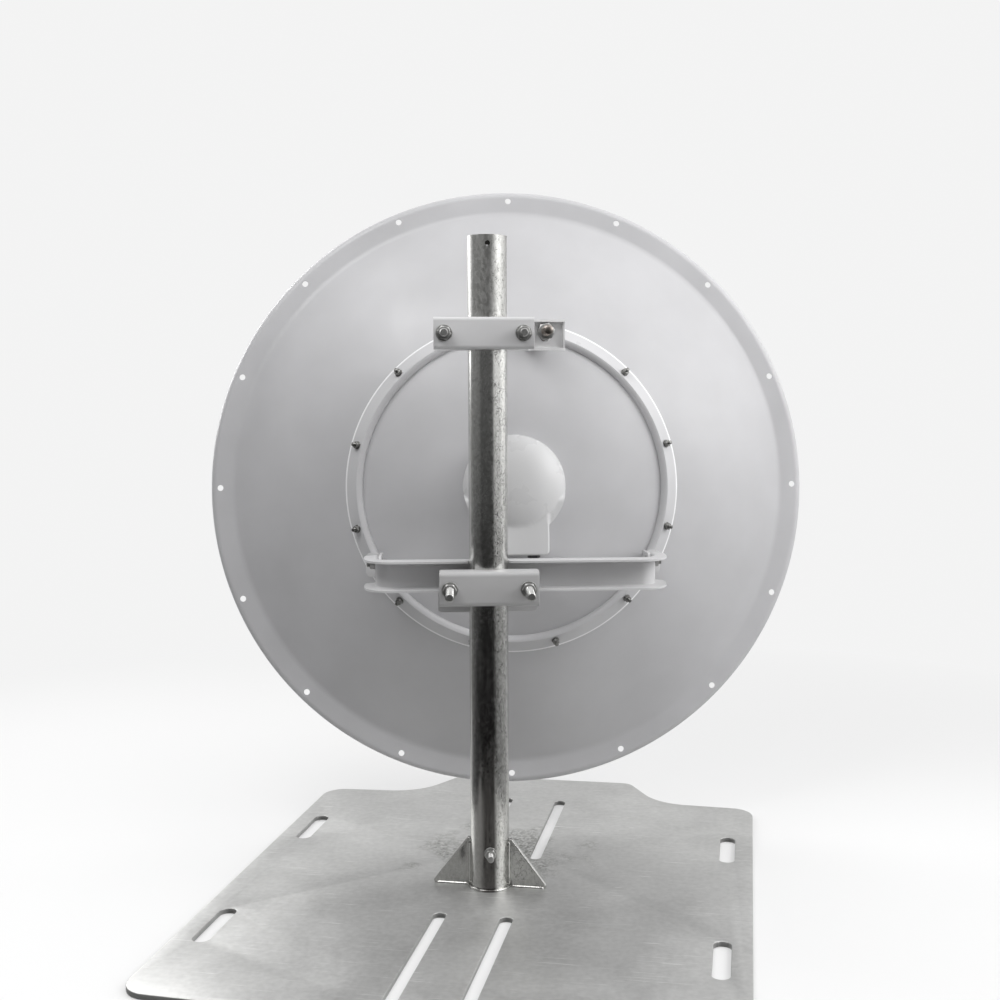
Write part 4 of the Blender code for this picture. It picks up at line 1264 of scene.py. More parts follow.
@dataclass(frozen=True)
class RingMount(Assembly):
    """Pressed ring on the back of the bowl, and the screws that hold it."""

    reflector: Reflector
    rides_on: ClassVar[Body] = Body.DISH
    outer: float = 0.350
    inner: float = 0.313
    shoulder: float = 0.326
    stand_off: float = 0.016
    sheet: float = 0.003
    edge: float = 0.0028
    lip_share: float = 0.78
    columns: int = 288
    screw_count: int = 12
    screw_circle: float = 0.335
    first_screw_deg: float = 15.0
    screw_end: float = 0.0150
    screw_turn: float = 1.7

    @property
    def top(self) -> float:
        """Depth of the shoulder's crest."""
        return self.reflector.back(self.shoulder) - self.stand_off

    @property
    def rim(self) -> float:
        """Depth of the band's outer face at its rim."""
        return self.seat(self.outer)[1] - self.sheet

    def seat(self, radius: float) -> Pair:
        """Point (radius, y) a gap behind the bowl."""
        return radius, self.reflector.back(radius) - GAP

    def build(self) -> None:
        """Make the ring and its screws."""
        bend, edge = self.shoulder - self.inner, self.edge
        crest = (self.shoulder, self.top + bend)
        profile = joined(
            self.seat(self.inner), arc(crest, bend, 180.0, 270.0, 10),
            arc((self.outer - edge, self.rim + edge), edge, -60.0, 0.0, 4),
            self.seat(self.outer),
            self.seat(self.shoulder + (self.outer - self.shoulder) * self.lip_share),
            arc(crest, bend - self.sheet, 270.0, 180.0, 6), self.seat(self.inner + self.sheet))
        shell = Shell(self.axes).grid(circles(*profile.T, self.columns), True, True)
        # The ring's coat carries a painted highlight along its outer edge
        self.fit(shell.solid("pressed_ring"), Slot.DISH_PAINT, "mount_ring",
                 material=self.finishes.ring)
        for index in range(self.screw_count):
            self.screw(index)

    def screw(self, index: int) -> None:
        """Make one screw: washer, nut and thread end, square to the sloping band.

        Args:
            index: Number of the screw, from 0.
        """
        angle = math.radians(self.first_screw_deg + 360.0 * index / self.screw_count)
        outward = np.array((math.sin(angle), 0.0, math.cos(angle)))
        rise, run = self.rim - self.top, self.outer - self.shoulder
        direction = unit(outward * rise - (0.0, run, 0.0))
        share = (self.screw_circle - self.shoulder) / run
        base = outward * self.screw_circle + (0.0, self.top + rise * share, 0.0)
        stack = Stack(M8, 36).washer().nut(Flats.TURNED, (False, True))
        stack.thread(self.screw_end - 0.0008).tip((0.0004, 0.86), (0.0008, 0.62))
        turn = index * self.screw_turn
        number = f"{index + 1:02d}"
        self.turned(f"ring_bolt_{number}", f"ring_screw_{number}", stack, base + direction * GAP,
                    direction, (math.cos(turn), 0.0, math.sin(turn)),
                    material=self.finishes.dull)


@dataclass(frozen=True)
class FeedCover(Assembly):
    """Domed cover behind the feed, with the box that grows out of it and its cable entry."""

    reflector: Reflector
    rides_on: ClassVar[Body] = Body.DISH
    radius: float = 0.105
    half_width: float = 0.069
    bottom: float = 0.141
    corner: float = 0.010
    height: float = 0.062
    wall: float = 0.18
    box_height: float = 0.0355
    box_rise: float = 0.0115
    box_edge: float = 0.0036
    seat: float = 0.0006
    cap_rows: int = 34
    gland_place: Pair = (0.038, -0.026)
    gland_hexagon: Pair = (0.0110, 0.0060)
    sleeve: Pair = (0.0062, 0.0176)
    sleeve_radius: float = 0.0086
    rib_depth: float = 0.0004
    rib_rate: float = 2600.0

    def outline(self) -> Array:
        """Keyhole outline: a disc that runs into a box below, with rounded lower corners.

        Returns:
            The outline's points, anticlockwise.
        """
        join = math.degrees(math.acos(self.half_width / self.radius))
        inset = self.half_width - self.corner
        floor = -self.bottom + self.corner
        shoulder = -self.radius * math.sin(math.radians(join))
        left = np.linspace((-self.half_width, shoulder), (-self.half_width, floor), 12)[1:-1]
        base = np.linspace((-inset, -self.bottom), (inset, -self.bottom), 24)[1:-1]
        return joined(
            arc((0.0, 0.0), self.radius, -join, 180.0 + join, 120), left,
            arc((-inset, floor), self.corner, 180.0, 270.0, 8), base,
            arc((inset, floor), self.corner, 270.0, 360.0, 8), left[::-1] * (-1.0, 1.0))

    def crown(self, flat: Array) -> Array:
        """Height of the cover over the dish's tangent plane.

        The higher of a dome, height (wall + (1 - wall) sqrt(1 - (r / radius) squared)), and a
        box with a flat face that rises a little downwards, and whose sides turn over a quarter
        circle of the edge's radius.

        Args:
            flat: Points (..., 2).

        Returns:
            Heights.
        """
        reach = np.linalg.norm(flat, axis=-1) / self.radius
        dome = self.height * (self.wall + (1.0 - self.wall) * circle_depth(1.0, reach))
        dome = np.where(reach > 1.0001, 0.0, dome)
        past_u = np.abs(flat[..., 0]) - self.half_width + self.corner
        past_v = -flat[..., 1] - self.bottom + self.corner
        past = np.hypot(np.maximum(past_u, 0.0), np.maximum(past_v, 0.0))
        past = np.where((past_u > 0.0) | (past_v > 0.0), past, np.maximum(past_u, past_v))
        room = np.clip(self.corner - past, 0.0, self.box_edge)
        turn = circle_depth(self.box_edge, self.box_edge - room)
        slope = self.box_rise * np.clip(-flat[..., 1] / self.bottom, 0.0, 1.0)
        box = self.box_height + slope - self.box_edge + turn
        return np.maximum(dome, box * soft_step(-flat[..., 1], 0.0, self.radius * 0.3))

    def build(self) -> None:
        """Make the cover and the cable gland under it: a hexagon and a ribbed sleeve."""
        share = np.sin(np.linspace(0.0, math.pi / 2.0, self.cap_rows))
        flat = share[:, None, None] * self.outline()
        cap = lifted(flat, -self.crown(flat))
        base = lifted(flat, self.reflector.back(np.linalg.norm(flat, axis=-1)) - self.seat)
        wall = np.linspace(cap[-1], base[-1], 5)
        shell = Shell(self.axes).tube(np.concatenate((cap, wall[1:], base[::-1][1:])))
        self.fit(shell.solid("domed_feed_cover", 40.0), Slot.COVER_PAINT, "feed_cover")
        ribs = np.linspace(*self.sleeve, 25)
        stack = Stack().hexagon(*self.gland_hexagon, Flats.UP).turned(
            stacked(ribs, self.sleeve_radius + self.rib_depth * np.cos(ribs * self.rib_rate)))
        stack.turned(((0.0180, 0.0078), (0.0180, 0.0055), (0.0150, 0.0052)))
        self.turned("ribbed_gland", "cable_gland", stack, (*self.gland_place, -self.bottom - GAP),
                    (0.0, 0.0, -1.0), (0.0, 1.0, 0.0), Slot.BLACK_PLASTIC)


@dataclass(frozen=True)
class Feed(Assembly):
    """Feed tube on the bowl's axis and the splash plate at its end."""

    reflector: Reflector
    rides_on: ClassVar[Body] = Body.DISH
    foot_radius: float = 0.045
    foot_height: float = 0.008
    tube_radius: float = 0.021
    length: float = 0.360
    groove_share: float = 0.55
    groove_depth: float = 0.0006
    groove_width: float = 0.0032
    fillet: float = 0.004
    head_radius: float = 0.062
    columns: int = 96

    def build(self) -> None:
        """Make the tube and the head."""
        front, foot, tube = self.reflector.front, self.foot_radius, self.tube_radius
        top = front(foot) + self.foot_height
        groove, depth = self.length * self.groove_share, self.groove_depth
        end = groove + self.groove_width
        radii = np.linspace(0.0, foot, 8)
        profile = joined(
            stacked(radii, front(radii) + GAP),
            arc((foot - 0.002, top - 0.002), 0.002, 0.0, 90.0, 5),
            arc((tube + self.fillet, top + self.fillet), self.fillet, 270.0, 180.0, 6),
            (tube, groove), (tube - depth, groove + depth), (tube - depth, end - depth),
            (tube, end), (tube, self.length - 0.001), (tube - 0.001, self.length),
            (0.0, self.length))
        shell = Shell(self.axes).spun(profile, columns=self.columns)
        self.fit(shell.solid("turned_feed_tube"), Slot.FEED_METAL, "feed_tube")
        rim = self.head_radius - 0.004
        head = joined((0.0, GAP), (0.026, GAP), (0.034, 0.030),
                      arc((rim, 0.0385), 0.0035, -80.0, 0.0, 6),
                      arc((rim, 0.0435), 0.0035, 0.0, 80.0, 6), (0.0, 0.052))
        shell = Shell(self.axes).spun(head + (0.0, self.length), columns=self.columns)
        self.fit(shell.solid("splash_plate"), Slot.DISH_PAINT, "feed_head")


@dataclass(frozen=True)
class Mast(Assembly):
    """Galvanised tube, drilled near its top, welded and bolted at its foot."""

    rides_on: ClassVar[Body] = Body.STAND
    radius: float = 0.03805
    wall: float = 0.004
    edge: float = 0.0006
    top: float = 1.280
    foot: float = 0.0103
    columns: int = 96
    hole_z: float = 1.263
    hole_radius: float = 0.005
    cell_height: float = 0.011
    cell_columns: int = 5
    bolt_z: float = 0.086
    bolt_front: float = 0.036
    gusset_length: float = 0.074
    gusset_height: float = 0.094
    gusset_end: float = 0.006
    gusset_thickness: float = 0.010
    gusset_corner: float = 0.0012
    gusset_edge: float = 0.0010
    bead_radius: float = 0.0030
    foot_bead_radius: float = 0.0034
    foot_bead_columns: int = 180

    @property
    def band(self) -> Pair:
        """Lower and upper level of the drilled band."""
        return self.hole_z - self.cell_height, self.hole_z + self.cell_height

    def ring(self, radius: float, *heights: float) -> Array:
        """Circles of a radius about the mast at some heights, angle 0 towards the front."""
        grid = circles(np.full(len(heights), radius), heights, self.columns)
        return grid[..., [0, 2, 1]] * (1.0, -1.0, 1.0)

    def drilled(self, shell: Shell, radius: float) -> list[Array]:
        """Add one face of the drilled band near the top.

        Cells in front and behind are pierced on the unrolled tube, where u is radius times
        angle, and rolled up again.

        Args:
            shell: The mast's shell.
            radius: Radius of this face.

        Returns:
            The edge of the front and of the rear hole on this face.
        """
        reach, half = self.cell_columns, self.columns // 2
        taken = (np.arange(self.columns) + reach) % half < 2 * reach
        shell.grid(self.ring(radius, *self.band), loop_columns=True, skip=taken[None])
        span = radius * np.pi * reach / half
        bottom, top = (np.linspace((-span, level), (span, level), 2 * reach + 1)
                       for level in self.band)
        cell = pierced(top, bottom, (0.0, self.hole_z), self.hole_radius)
        angles = [cell[..., 0] / radius + facing for facing in (0.0, np.pi)]
        rolled = [stacked(radius * np.sin(angle), -radius * np.cos(angle), cell[..., 1])
                  for angle in angles]
        shell.tube(*rolled)
        return [surface[0] for surface in rolled]

    def build(self) -> None:
        """Make the tube, its gussets, welds and foot bolt."""
        low, high = self.band
        outer, inner, edge = self.radius, self.radius - self.wall, self.edge
        levels = np.linspace(self.foot, low, 24)
        shell = Shell(self.axes).tube(self.ring(outer, *levels), self.ring(inner, *levels))
        for rims in zip(self.drilled(shell, outer), self.drilled(shell, inner)):
            shell.tube(np.stack(rims))
        mouth = (self.ring(outer, high, self.top - edge), self.ring(outer - edge, self.top),
                 self.ring(inner + edge, self.top), self.ring(inner, self.top - edge, high))
        base = (self.ring(inner, self.foot), self.ring(outer, self.foot))
        shell.tube(np.concatenate(mouth), np.concatenate(base))
        self.fit(shell.solid("mast_tube"), Slot.GALVANISED, "mast_pipe")
        for side in Side:
            self.gusset(side)
        self.foot_weld()
        self.foot_bolt()

    def gusset(self, side: Side) -> None:
        """Make one gusset, with the welds along the mast and the plate.

        Args:
            side: The side that it stands on.
        """
        sign, foot, top = side.value, self.foot, self.foot + self.gusset_height
        near = self.radius + GAP
        far = near + self.gusset_length
        corners = ((near, foot), (far, foot), (far, foot + self.gusset_end),
                   (near + self.gusset_end, top), (near, top))
        web = rounded_loop([(*corner, self.gusset_corner) for corner in corners], 4)
        web = web if side is Side.RIGHT else web[::-1] * (-1.0, 1.0)
        half = self.gusset_thickness / 2.0
        shell = Shell(ROW).slab([web], -half, half, self.gusset_edge, (0, 2, 1))
        self.fit(shell.solid(f"gusset_{side}"), Slot.GALVANISED, f"foot_gusset_{side}")
        shell = Shell(ROW)
        for face in (-half, half):
            upright, level = sign * (near + 0.0006), foot + 0.0004
            shell.tube(
                bead(np.linspace((upright, face, foot + 0.003), (upright, face, top - 0.004), 46),
                     self.bead_radius),
                bead(np.linspace((sign * (near + 0.003), face, level),
                                 (sign * (far - 0.003), face, level), 38), self.bead_radius))
        self.fit(shell.solid(f"gusset_weld_{side}", BEAD_SMOOTH), Slot.GALVANISED)

    def foot_weld(self) -> None:
        """Make the weld round the mast's foot."""
        angle = np.linspace(0.0, 2.0 * np.pi, self.foot_bead_columns, endpoint=False)
        reach = self.radius + 0.0012
        path = stacked(reach * np.cos(angle), reach * np.sin(angle), self.foot + 0.0008)
        shell = Shell(ROW).grid(bead(path, self.foot_bead_radius, closed=True), True, True)
        self.fit(shell.solid("foot_weld", BEAD_SMOOTH), Slot.GALVANISED)

    def foot_bolt(self) -> None:
        """Make the bolt through the mast's foot, its nut in front."""
        reach = self.radius + GAP
        front = reach + self.bolt_front
        stack = Stack(M12).tip((0.0, 0.55), (0.0008, 0.9))
        stack.thread(self.bolt_front - M12.washer_height - M12.nut_height, 0.0002)
        stack.nut(Flats.UP).washer().shank(front + reach).head(Flats.UP)
        self.turned("foot_through_bolt", "foot_bolt", stack, (0.0, -front, self.bolt_z))


@dataclass(frozen=True)
class FloorPlate(Assembly):
    """Floor plate: square wings with a tapered tab at each end, and eight slots."""

    rides_on: ClassVar[Body] = Body.STAND
    thickness: float = 0.010
    edge: float = 0.0014
    wing: Triple = (0.512, 0.541, 0.050)
    shoulder: Triple = (0.290, 0.553, 0.120)
    tab: Triple = (0.212, 0.695, 0.035)
    hand_slot: Pair = (0.459, 0.2675)
    hand_slot_size: Pair = (0.032, 0.149)
    long_slot: Pair = (0.063, 0.3415)
    long_slot_size: Pair = (0.025, 0.383)

    def slot(self, centre: Floats, size: Floats) -> Array:
        """Slot with round ends, clockwise, so that the material is on its left."""
        middle, half = np.array(centre), np.array(size) / 2.0
        return box_loop(middle - half, middle + half, half[0] * 0.999, 12)[::-1]

    def build(self) -> None:
        """Make the plate."""
        rows = np.array((self.wing, self.shoulder, self.tab))
        corners = joined(rows, rows[::-1] * (-1.0, 1.0, 1.0), rows * (-1.0, -1.0, 1.0),
                         rows[::-1] * (1.0, -1.0, 1.0))
        loops = [rounded_loop(corners, 14)]
        for across in (-1.0, 1.0):
            for along in (-1.0, 1.0):
                for (x, y), size in ((self.hand_slot, self.hand_slot_size),
                                     (self.long_slot, self.long_slot_size)):
                    loops.append(self.slot((across * x, along * y), size))
        shell = Shell(ROW).slab(loops, 0.0, self.thickness, self.edge)
        self.fit(shell.solid("slotted_floor_plate"), Slot.PLATE_STEEL, "base_plate")


@dataclass(frozen=True)
class Channel:
    """C section pressed from sheet: its levels, outer web face, flange tips and bend."""

    low: float
    high: float
    web: float
    tip: float
    bend: float
    mast_radius: float = 0.03835
    tip_corner: float = 0.006

    @property
    def inward(self) -> float:
        """1 where the flanges run towards +y from the web, else -1."""
        return math.copysign(1.0, self.tip - self.web)

    def section(self) -> Array:
        """Outer face from one flange's tip over the web to the other.

        Returns:
            Rows of (y, z).
        """
        inset, rise = (self.bend * part for part in quarter(8))
        depth = self.web + self.inward * inset
        return joined((self.tip, self.low), stacked(depth, self.low + rise),
                      stacked(depth, self.high - rise)[::-1], (self.tip, self.high))

    def stations(self, left: float, right: float) -> Array:
        """Stations along the channel, closer together at its ends and round the mast.

        Args:
            left: The channel's left end.
            right: Its right end.

        Returns:
            The stations from left to right.
        """
        ends = self.tip_corner * quarter(3)[1]
        mast = self.mast_radius * np.sin(np.radians(np.linspace(-88.0, 88.0, 29)))
        return np.unique(np.concatenate((left + ends, right - ends, mast)))

    def surface(self, across: Array) -> Array:
        """Outer face as a grid: the section at each station.

        The flanges end at their tips, with rounded ends, and all stops at the mast's circle.

        Args:
            across: Stations along the channel.

        Returns:
            A grid with a row for each point of the section.
        """
        rows, corner = self.section(), self.tip_corner
        past = np.maximum(across[0] + corner - across, across - across[-1] + corner)
        depth = np.repeat(rows[:, :1], len(across), 1)
        share = np.clip(past / corner, 0.0, 1.0)
        depth[[0, -1]] -= self.inward * corner * (1.0 - circle_depth(1.0, share))
        saddle = -self.inward * circle_depth(self.mast_radius, across)
        held = np.minimum(depth, saddle) if self.inward > 0.0 else np.maximum(depth, saddle)
        depth = np.where(np.abs(across) < self.mast_radius, held, depth)
        return stacked(across, depth, rows[:, 1:])


@dataclass(frozen=True)
class UpperClamp(Assembly):
    """Clamp near the mast's top: a front channel, a long rear channel and two bolts."""

    levels: Pair = (1.0620, 1.1225)
    shift: float = -0.008
    half_width: float = 0.095
    front_y: float = -0.062
    front_tip: float = -0.030
    behind_mast: float = 0.03835
    rear_tip: float = 0.004
    sheet: float = 0.005
    bend: float = 0.007
    rear_right: float = 0.153
    stub_y: float = 0.024
    bolt_x: float = 0.075
    bolt_end: float = 0.016
    rod_x: float = 0.115
    slot_z: float = 1.0965
    slot_length: float = 0.035
    slot_width: float = 0.0236
    window_half: float = 0.018
    stub_start: float = 0.004
    rear_corner: float = 0.004
    end_inset: Pair = (0.006, 0.0045)
    end_corner: float = 0.002
    end_edge: float = 0.0006

    @property
    def ends(self) -> Pair:
        """Left and right end of the front channel."""
        return self.shift - self.half_width, self.shift + self.half_width

    def build(self) -> None:
        """Make the clamp."""
        front = Channel(*self.levels, self.front_y, self.front_tip, self.bend)
        shell = Shell(self.axes).grid(front.surface(front.stations(*self.ends)))
        self.fit(shell.sheet("upper_clamp_channel", self.sheet, -1.0), Slot.BRACKET_PAINT,
                 "upper_clamp_front")
        self.rear()
        for side in Side:
            self.bolt(side)

    def rear(self) -> None:
        """Make the rear channel, slotted for the rod and closed at its right end."""
        low, high = self.levels
        left, right = self.ends
        channel = Channel(low, high, self.behind_mast + self.sheet, self.rear_tip, self.bend,
                          tip_corner=self.rear_corner)
        window = self.rod_x + np.linspace(-self.window_half, self.window_half, 13)
        across = channel.stations(left, self.rear_right)
        across = across[(across < window[0] - 0.001) | (across > window[-1] + 0.001)]
        across = np.sort(np.concatenate((across, window, (right - 0.008, right - 0.003))))
        surface = channel.surface(across)
        stub = across > right - self.stub_start
        surface[:, stub, 1] = np.maximum(surface[:, stub, 1], self.stub_y)
        web = len(surface) // 2 - 1
        skip = np.zeros((len(surface) - 1, len(across) - 1), bool)
        skip[web] = (across[:-1] >= window[0] - MERGE) & (across[1:] <= window[-1] + MERGE)
        bottom, top = (stacked(window, level) for level in surface[web:web + 2, 0, 2])
        cell = pierced(top, bottom, (self.rod_x, self.slot_z), self.slot_width / 2.0,
                       (self.slot_length - self.slot_width) / 2.0)
        shell = Shell(self.axes).grid(surface, skip=skip).tube(lifted(cell, channel.web))
        # Paler coat: painted light in the rear channel's shaded pocket
        self.fit(shell.sheet("upper_rear_channel", self.sheet, 1.0), Slot.BRACKET_PAINT,
                 "upper_clamp_rear", material=self.finishes.pale)
        front, inset = self.end_inset
        plate = box_loop((self.stub_y + front, low + inset), (channel.web - inset, high - inset),
                         self.end_corner, 4)
        end = Shell(self.axes).slab([plate], self.rear_right - self.sheet,
                                    self.rear_right - 0.0004, self.end_edge, (2, 0, 1))
        self.fit(end.solid("rear_channel_end"), Slot.BRACKET_PAINT)

    def bolt(self, side: Side) -> None:
        """Make one clamp bolt with its nut in front.

        Args:
            side: The side that it stands on.
        """
        stack = Stack(M16, 60).tip((0.0, 0.50), (0.0, 0.76), (0.0006, 0.82), (0.0026, 0.96))
        stack.thread(self.bolt_end, 0.0008).nut(Flats.TURNED).washer()
        start = self.front_y - GAP - stack.at
        stack.shank(self.behind_mast + self.sheet + GAP - start).washer().head(Flats.UP)
        place = (self.shift + side.value * self.bolt_x, start, sum(self.levels) / 2.0)
        self.turned(f"clamp_bolt_{side}", f"upper_clamp_bolt_{side}", stack, place)


@dataclass(frozen=True)
class LowerClamp(Assembly):
    """Clamp that holds the cross member: a front channel, a rear strap and two studs."""

    levels: Pair = (0.5735, 0.6400)
    half_width: float = 0.095
    front_y: float = -0.066
    front_tip: float = -0.026
    sheet: float = 0.005
    bend: float = 0.009
    strap_levels: Pair = (0.5450, 0.6350)
    strap_half: float = 0.099
    strap_y: float = 0.04305
    strap_corner: float = 0.008
    strap_edge: float = 0.0009
    stud_x: float = 0.075
    stud_reach: float = 0.095

    def build(self) -> None:
        """Make the clamp."""
        front = Channel(*self.levels, self.front_y, self.front_tip, self.bend)
        across = front.stations(-self.half_width, self.half_width)
        piece = Shell(self.axes).grid(front.surface(across)).sheet("lower_clamp_channel",
                                                                   self.sheet, -1.0)
        # Darker coat: painted shade on the lower clamp's front channel
        self.fit(piece, Slot.BRACKET_PAINT, "lower_clamp_front", material=self.finishes.painted_shade_coat)
        low, high = self.strap_levels
        strap = box_loop((-self.strap_half, low), (self.strap_half, high), self.strap_corner)
        shell = Shell(self.axes).slab([strap], self.strap_y, self.strap_y + self.sheet,
                                      self.strap_edge, (0, 2, 1))
        self.fit(shell.solid("lower_clamp_strap"), Slot.BRACKET_PAINT, "lower_clamp_rear")
        for side in Side:
            self.stud(side)

    def stud(self, side: Side) -> None:
        """Make one long stud with its nut in front.

        Args:
            side: The side that it stands on.
        """
        stack = Stack(M16, 60).tip((0.0, 0.78), (0.0012, 0.93))
        stack.thread(self.stud_reach - M16.washer_height - M16.nut_height, 0.0003)
        start = self.front_y - GAP - self.stud_reach
        stack.nut(Flats.UP).washer().shank(self.strap_y + self.sheet + GAP - start)
        place = (side.value * self.stud_x, start, sum(self.levels) / 2.0)
        self.turned(f"clamp_stud_{side}", f"lower_clamp_stud_{side}", stack.head(Flats.UP), place)


@dataclass(frozen=True)
class CrossMember(Assembly):
    """Channel bent into a U whose legs carry the dish's pivots.

    Its plan is kept in rows of (x, y, normal x, normal y, flange depth, cut of the leg's end).
    """

    levels: Pair = (0.5920, 0.6520)
    half_width: float = 0.281
    corner: float = 0.030
    sheet: float = 0.004
    bend: float = 0.006
    leg_flange: float = 0.026
    stub: float = 0.0044
    back_y: float = 0.04275
    full_depth: float = 0.04375
    mast_notch: float = 0.04005
    notch_end: float = 0.045
    pivot_y: float = 0.112
    leg_end_radius: float = 0.020
    nose: float = 0.024
    flange_growth: Pair = (0.014, 0.034)
    lower_cut: float = 1.2

    def half_plan(self) -> Array:
        """Right half of the plan, from the leg's end round the corner to the mast.

        The dish side of the web runs down the leg, round an arc and along the back. The flange's
        depth grows from a stub at the leg's round end to the leg's flange, then on round the
        corner, with the square of the arc's sine, to the full depth, and near the mast it stops
        at the mast's circle.

        Returns:
            Rows of the plan.
        """
        inner, radius = self.half_width - self.sheet, self.leg_end_radius
        leg_end = self.pivot_y + radius
        centre = np.array((inner - self.corner, self.back_y + self.corner))
        leg = np.concatenate((leg_end - radius * quarter(8)[0][::-1],
                              np.linspace(leg_end - self.nose, centre[1], 9)))
        past = np.clip((leg - leg_end) / radius + 1.0, 0.0, 1.0)
        grow = soft_step(leg_end - leg, *self.flange_growth)
        angle = np.radians(np.linspace(0.0, 90.0, 17))[1:]
        cos, sin = np.cos(angle), np.sin(angle)
        reach = self.mast_notch * np.sin(np.radians(np.linspace(88.0, -88.0, 33)))
        back = np.concatenate((np.linspace(centre[0] + VERTEX[0], self.notch_end, 12)[1:], reach))
        notch = np.where(np.abs(back) < self.mast_notch,
                         self.back_y - circle_depth(self.mast_notch, back), self.full_depth)
        return joined(
            stacked(inner, leg, 1.0, 0.0, self.stub + (self.leg_flange - self.stub) * grow,
                    radius * (1.0 - circle_depth(1.0, past))),
            stacked(centre[0] + self.corner * cos, centre[1] - self.corner * sin, cos, -sin,
                    self.leg_flange + (self.full_depth - self.leg_flange) * sin ** 2, 0.0),
            stacked(back - VERTEX[0], self.back_y, 0.0, -1.0, np.maximum(notch, self.stub), 0.0))

    def plan(self) -> Array:
        """The whole plan: the right half, the rest of the back and a mirrored left leg.

        Returns:
            Rows of the plan.
        """
        half = self.half_plan()
        left = np.linspace(-self.notch_end - VERTEX[0], self.corner + self.sheet - self.half_width,
                           10)
        mirrored = half[half[:, 1] > self.back_y + MERGE][::-1] * (-1.0, 1.0, -1.0, 1.0, 1.0, 1.0)
        return joined(half, stacked(left, self.back_y, 0.0, -1.0, self.full_depth, 0.0), mirrored)

    def build(self) -> None:
        """Make the cross member.

        Each station carries the same section: lower flange, bend, web, bend and upper flange,
        laid off along the station's outward normal.
        """
        x, y, normal_x, normal_y, depth, cut = self.plan().T
        low, high = self.levels[0] + cut * self.lower_cut, self.levels[1] - cut
        inset, rise = (np.minimum(self.bend, depth) * part[:, None] for part in quarter(6))
        off = np.vstack((depth, inset, inset[::-1], depth))
        level = np.vstack((low, low + rise, (high - rise)[::-1], high))
        grid = stacked(VERTEX[0] + x + off * normal_x, y + off * normal_y, level)
        piece = Shell(self.axes).grid(grid).sheet("bent_cross_member", self.sheet, 1.0)
        self.fit(piece, Slot.BRACKET_PAINT, "cross_member")


@dataclass(frozen=True)
class Pivots(Assembly):
    """Lugs on the ring and the bolts that join them to the cross member's legs."""

    ring: RingMount
    member_half: float = 0.281
    member_sheet: float = 0.004
    pivot: Pair = (0.112, 0.6335)
    lug_sheet: float = 0.006
    lug_radius: float = 0.018
    edge: float = 0.0009
    below: float = 0.030
    above: float = 0.020
    foot_sheet: float = 0.0055
    foot_width: float = 0.030
    foot_corner: float = 0.010
    bead_radius: float = 0.0020
    bead_inset: float = 0.004
    thread_out: float = 0.0065

    @property
    def ear_outer(self) -> float:
        """Distance of an ear's outer face from the dish's middle."""
        return self.member_half - self.member_sheet - 2.0 * GAP

    def build(self) -> None:
        """Make both lugs and bolts."""
        for side in Side:
            self.lug(side)
            self.bolt(side)

    def lug(self, side: Side) -> None:
        """Make one lug: a round-nosed ear, its foot on the ring and their weld.

        Args:
            side: The side that it stands on.
        """
        dish, sign, outer = self.ring.axes, side.value, self.ear_outer
        _, y, z = dish.find(self.axes.place((VERTEX[0], *self.pivot)))
        seat = self.ring.top - GAP
        near = seat - self.foot_sheet
        low, high = z - self.below, z + self.above
        ear = joined(arc((y, z), self.lug_radius, 90.0, 270.0, 24), (near + 0.001, low),
                     (near + 0.001, high))
        left, right = sorted((sign * (outer - 0.001), sign * (outer + self.foot_width)))
        foot = box_loop((left, low), (right, high), self.foot_corner)
        shell = Shell(dish).slab([ear], *sorted((sign * (outer - self.lug_sheet), sign * outer)),
                                 self.edge, (2, 0, 1))
        shell.slab([foot], near, seat, self.edge, (0, 2, 1))
        corner = (sign * (outer + 0.0002), near - 0.0002)
        run = np.linspace((*corner, low + self.bead_inset), (*corner, high - self.bead_inset), 40)
        shell.tube(bead(run, self.bead_radius))
        self.fit(shell.solid(f"welded_lug_{side}"), Slot.BRACKET_PAINT, f"pivot_lug_{side}",
                 body=Body.DISH)

    def bolt(self, side: Side) -> None:
        """Make one pivot bolt, its head inside and its nut outside.

        Args:
            side: The side that it stands on.
        """
        stack = Stack(M12).head(Flats.UP, (True, False)).washer()
        start = self.ear_outer - self.lug_sheet - GAP - stack.at
        stack.shank(self.member_half + GAP - start).washer().nut(Flats.TURNED)
        stack.thread(stack.at + self.thread_out - 0.001).tip((0.0004, 0.88), (0.001, 0.6))
        place = (VERTEX[0] + side.value * start, *self.pivot)
        self.turned(f"pivot_fastener_{side}", f"pivot_bolt_{side}", stack, place,
                    (side.value, 0.0, 0.0))


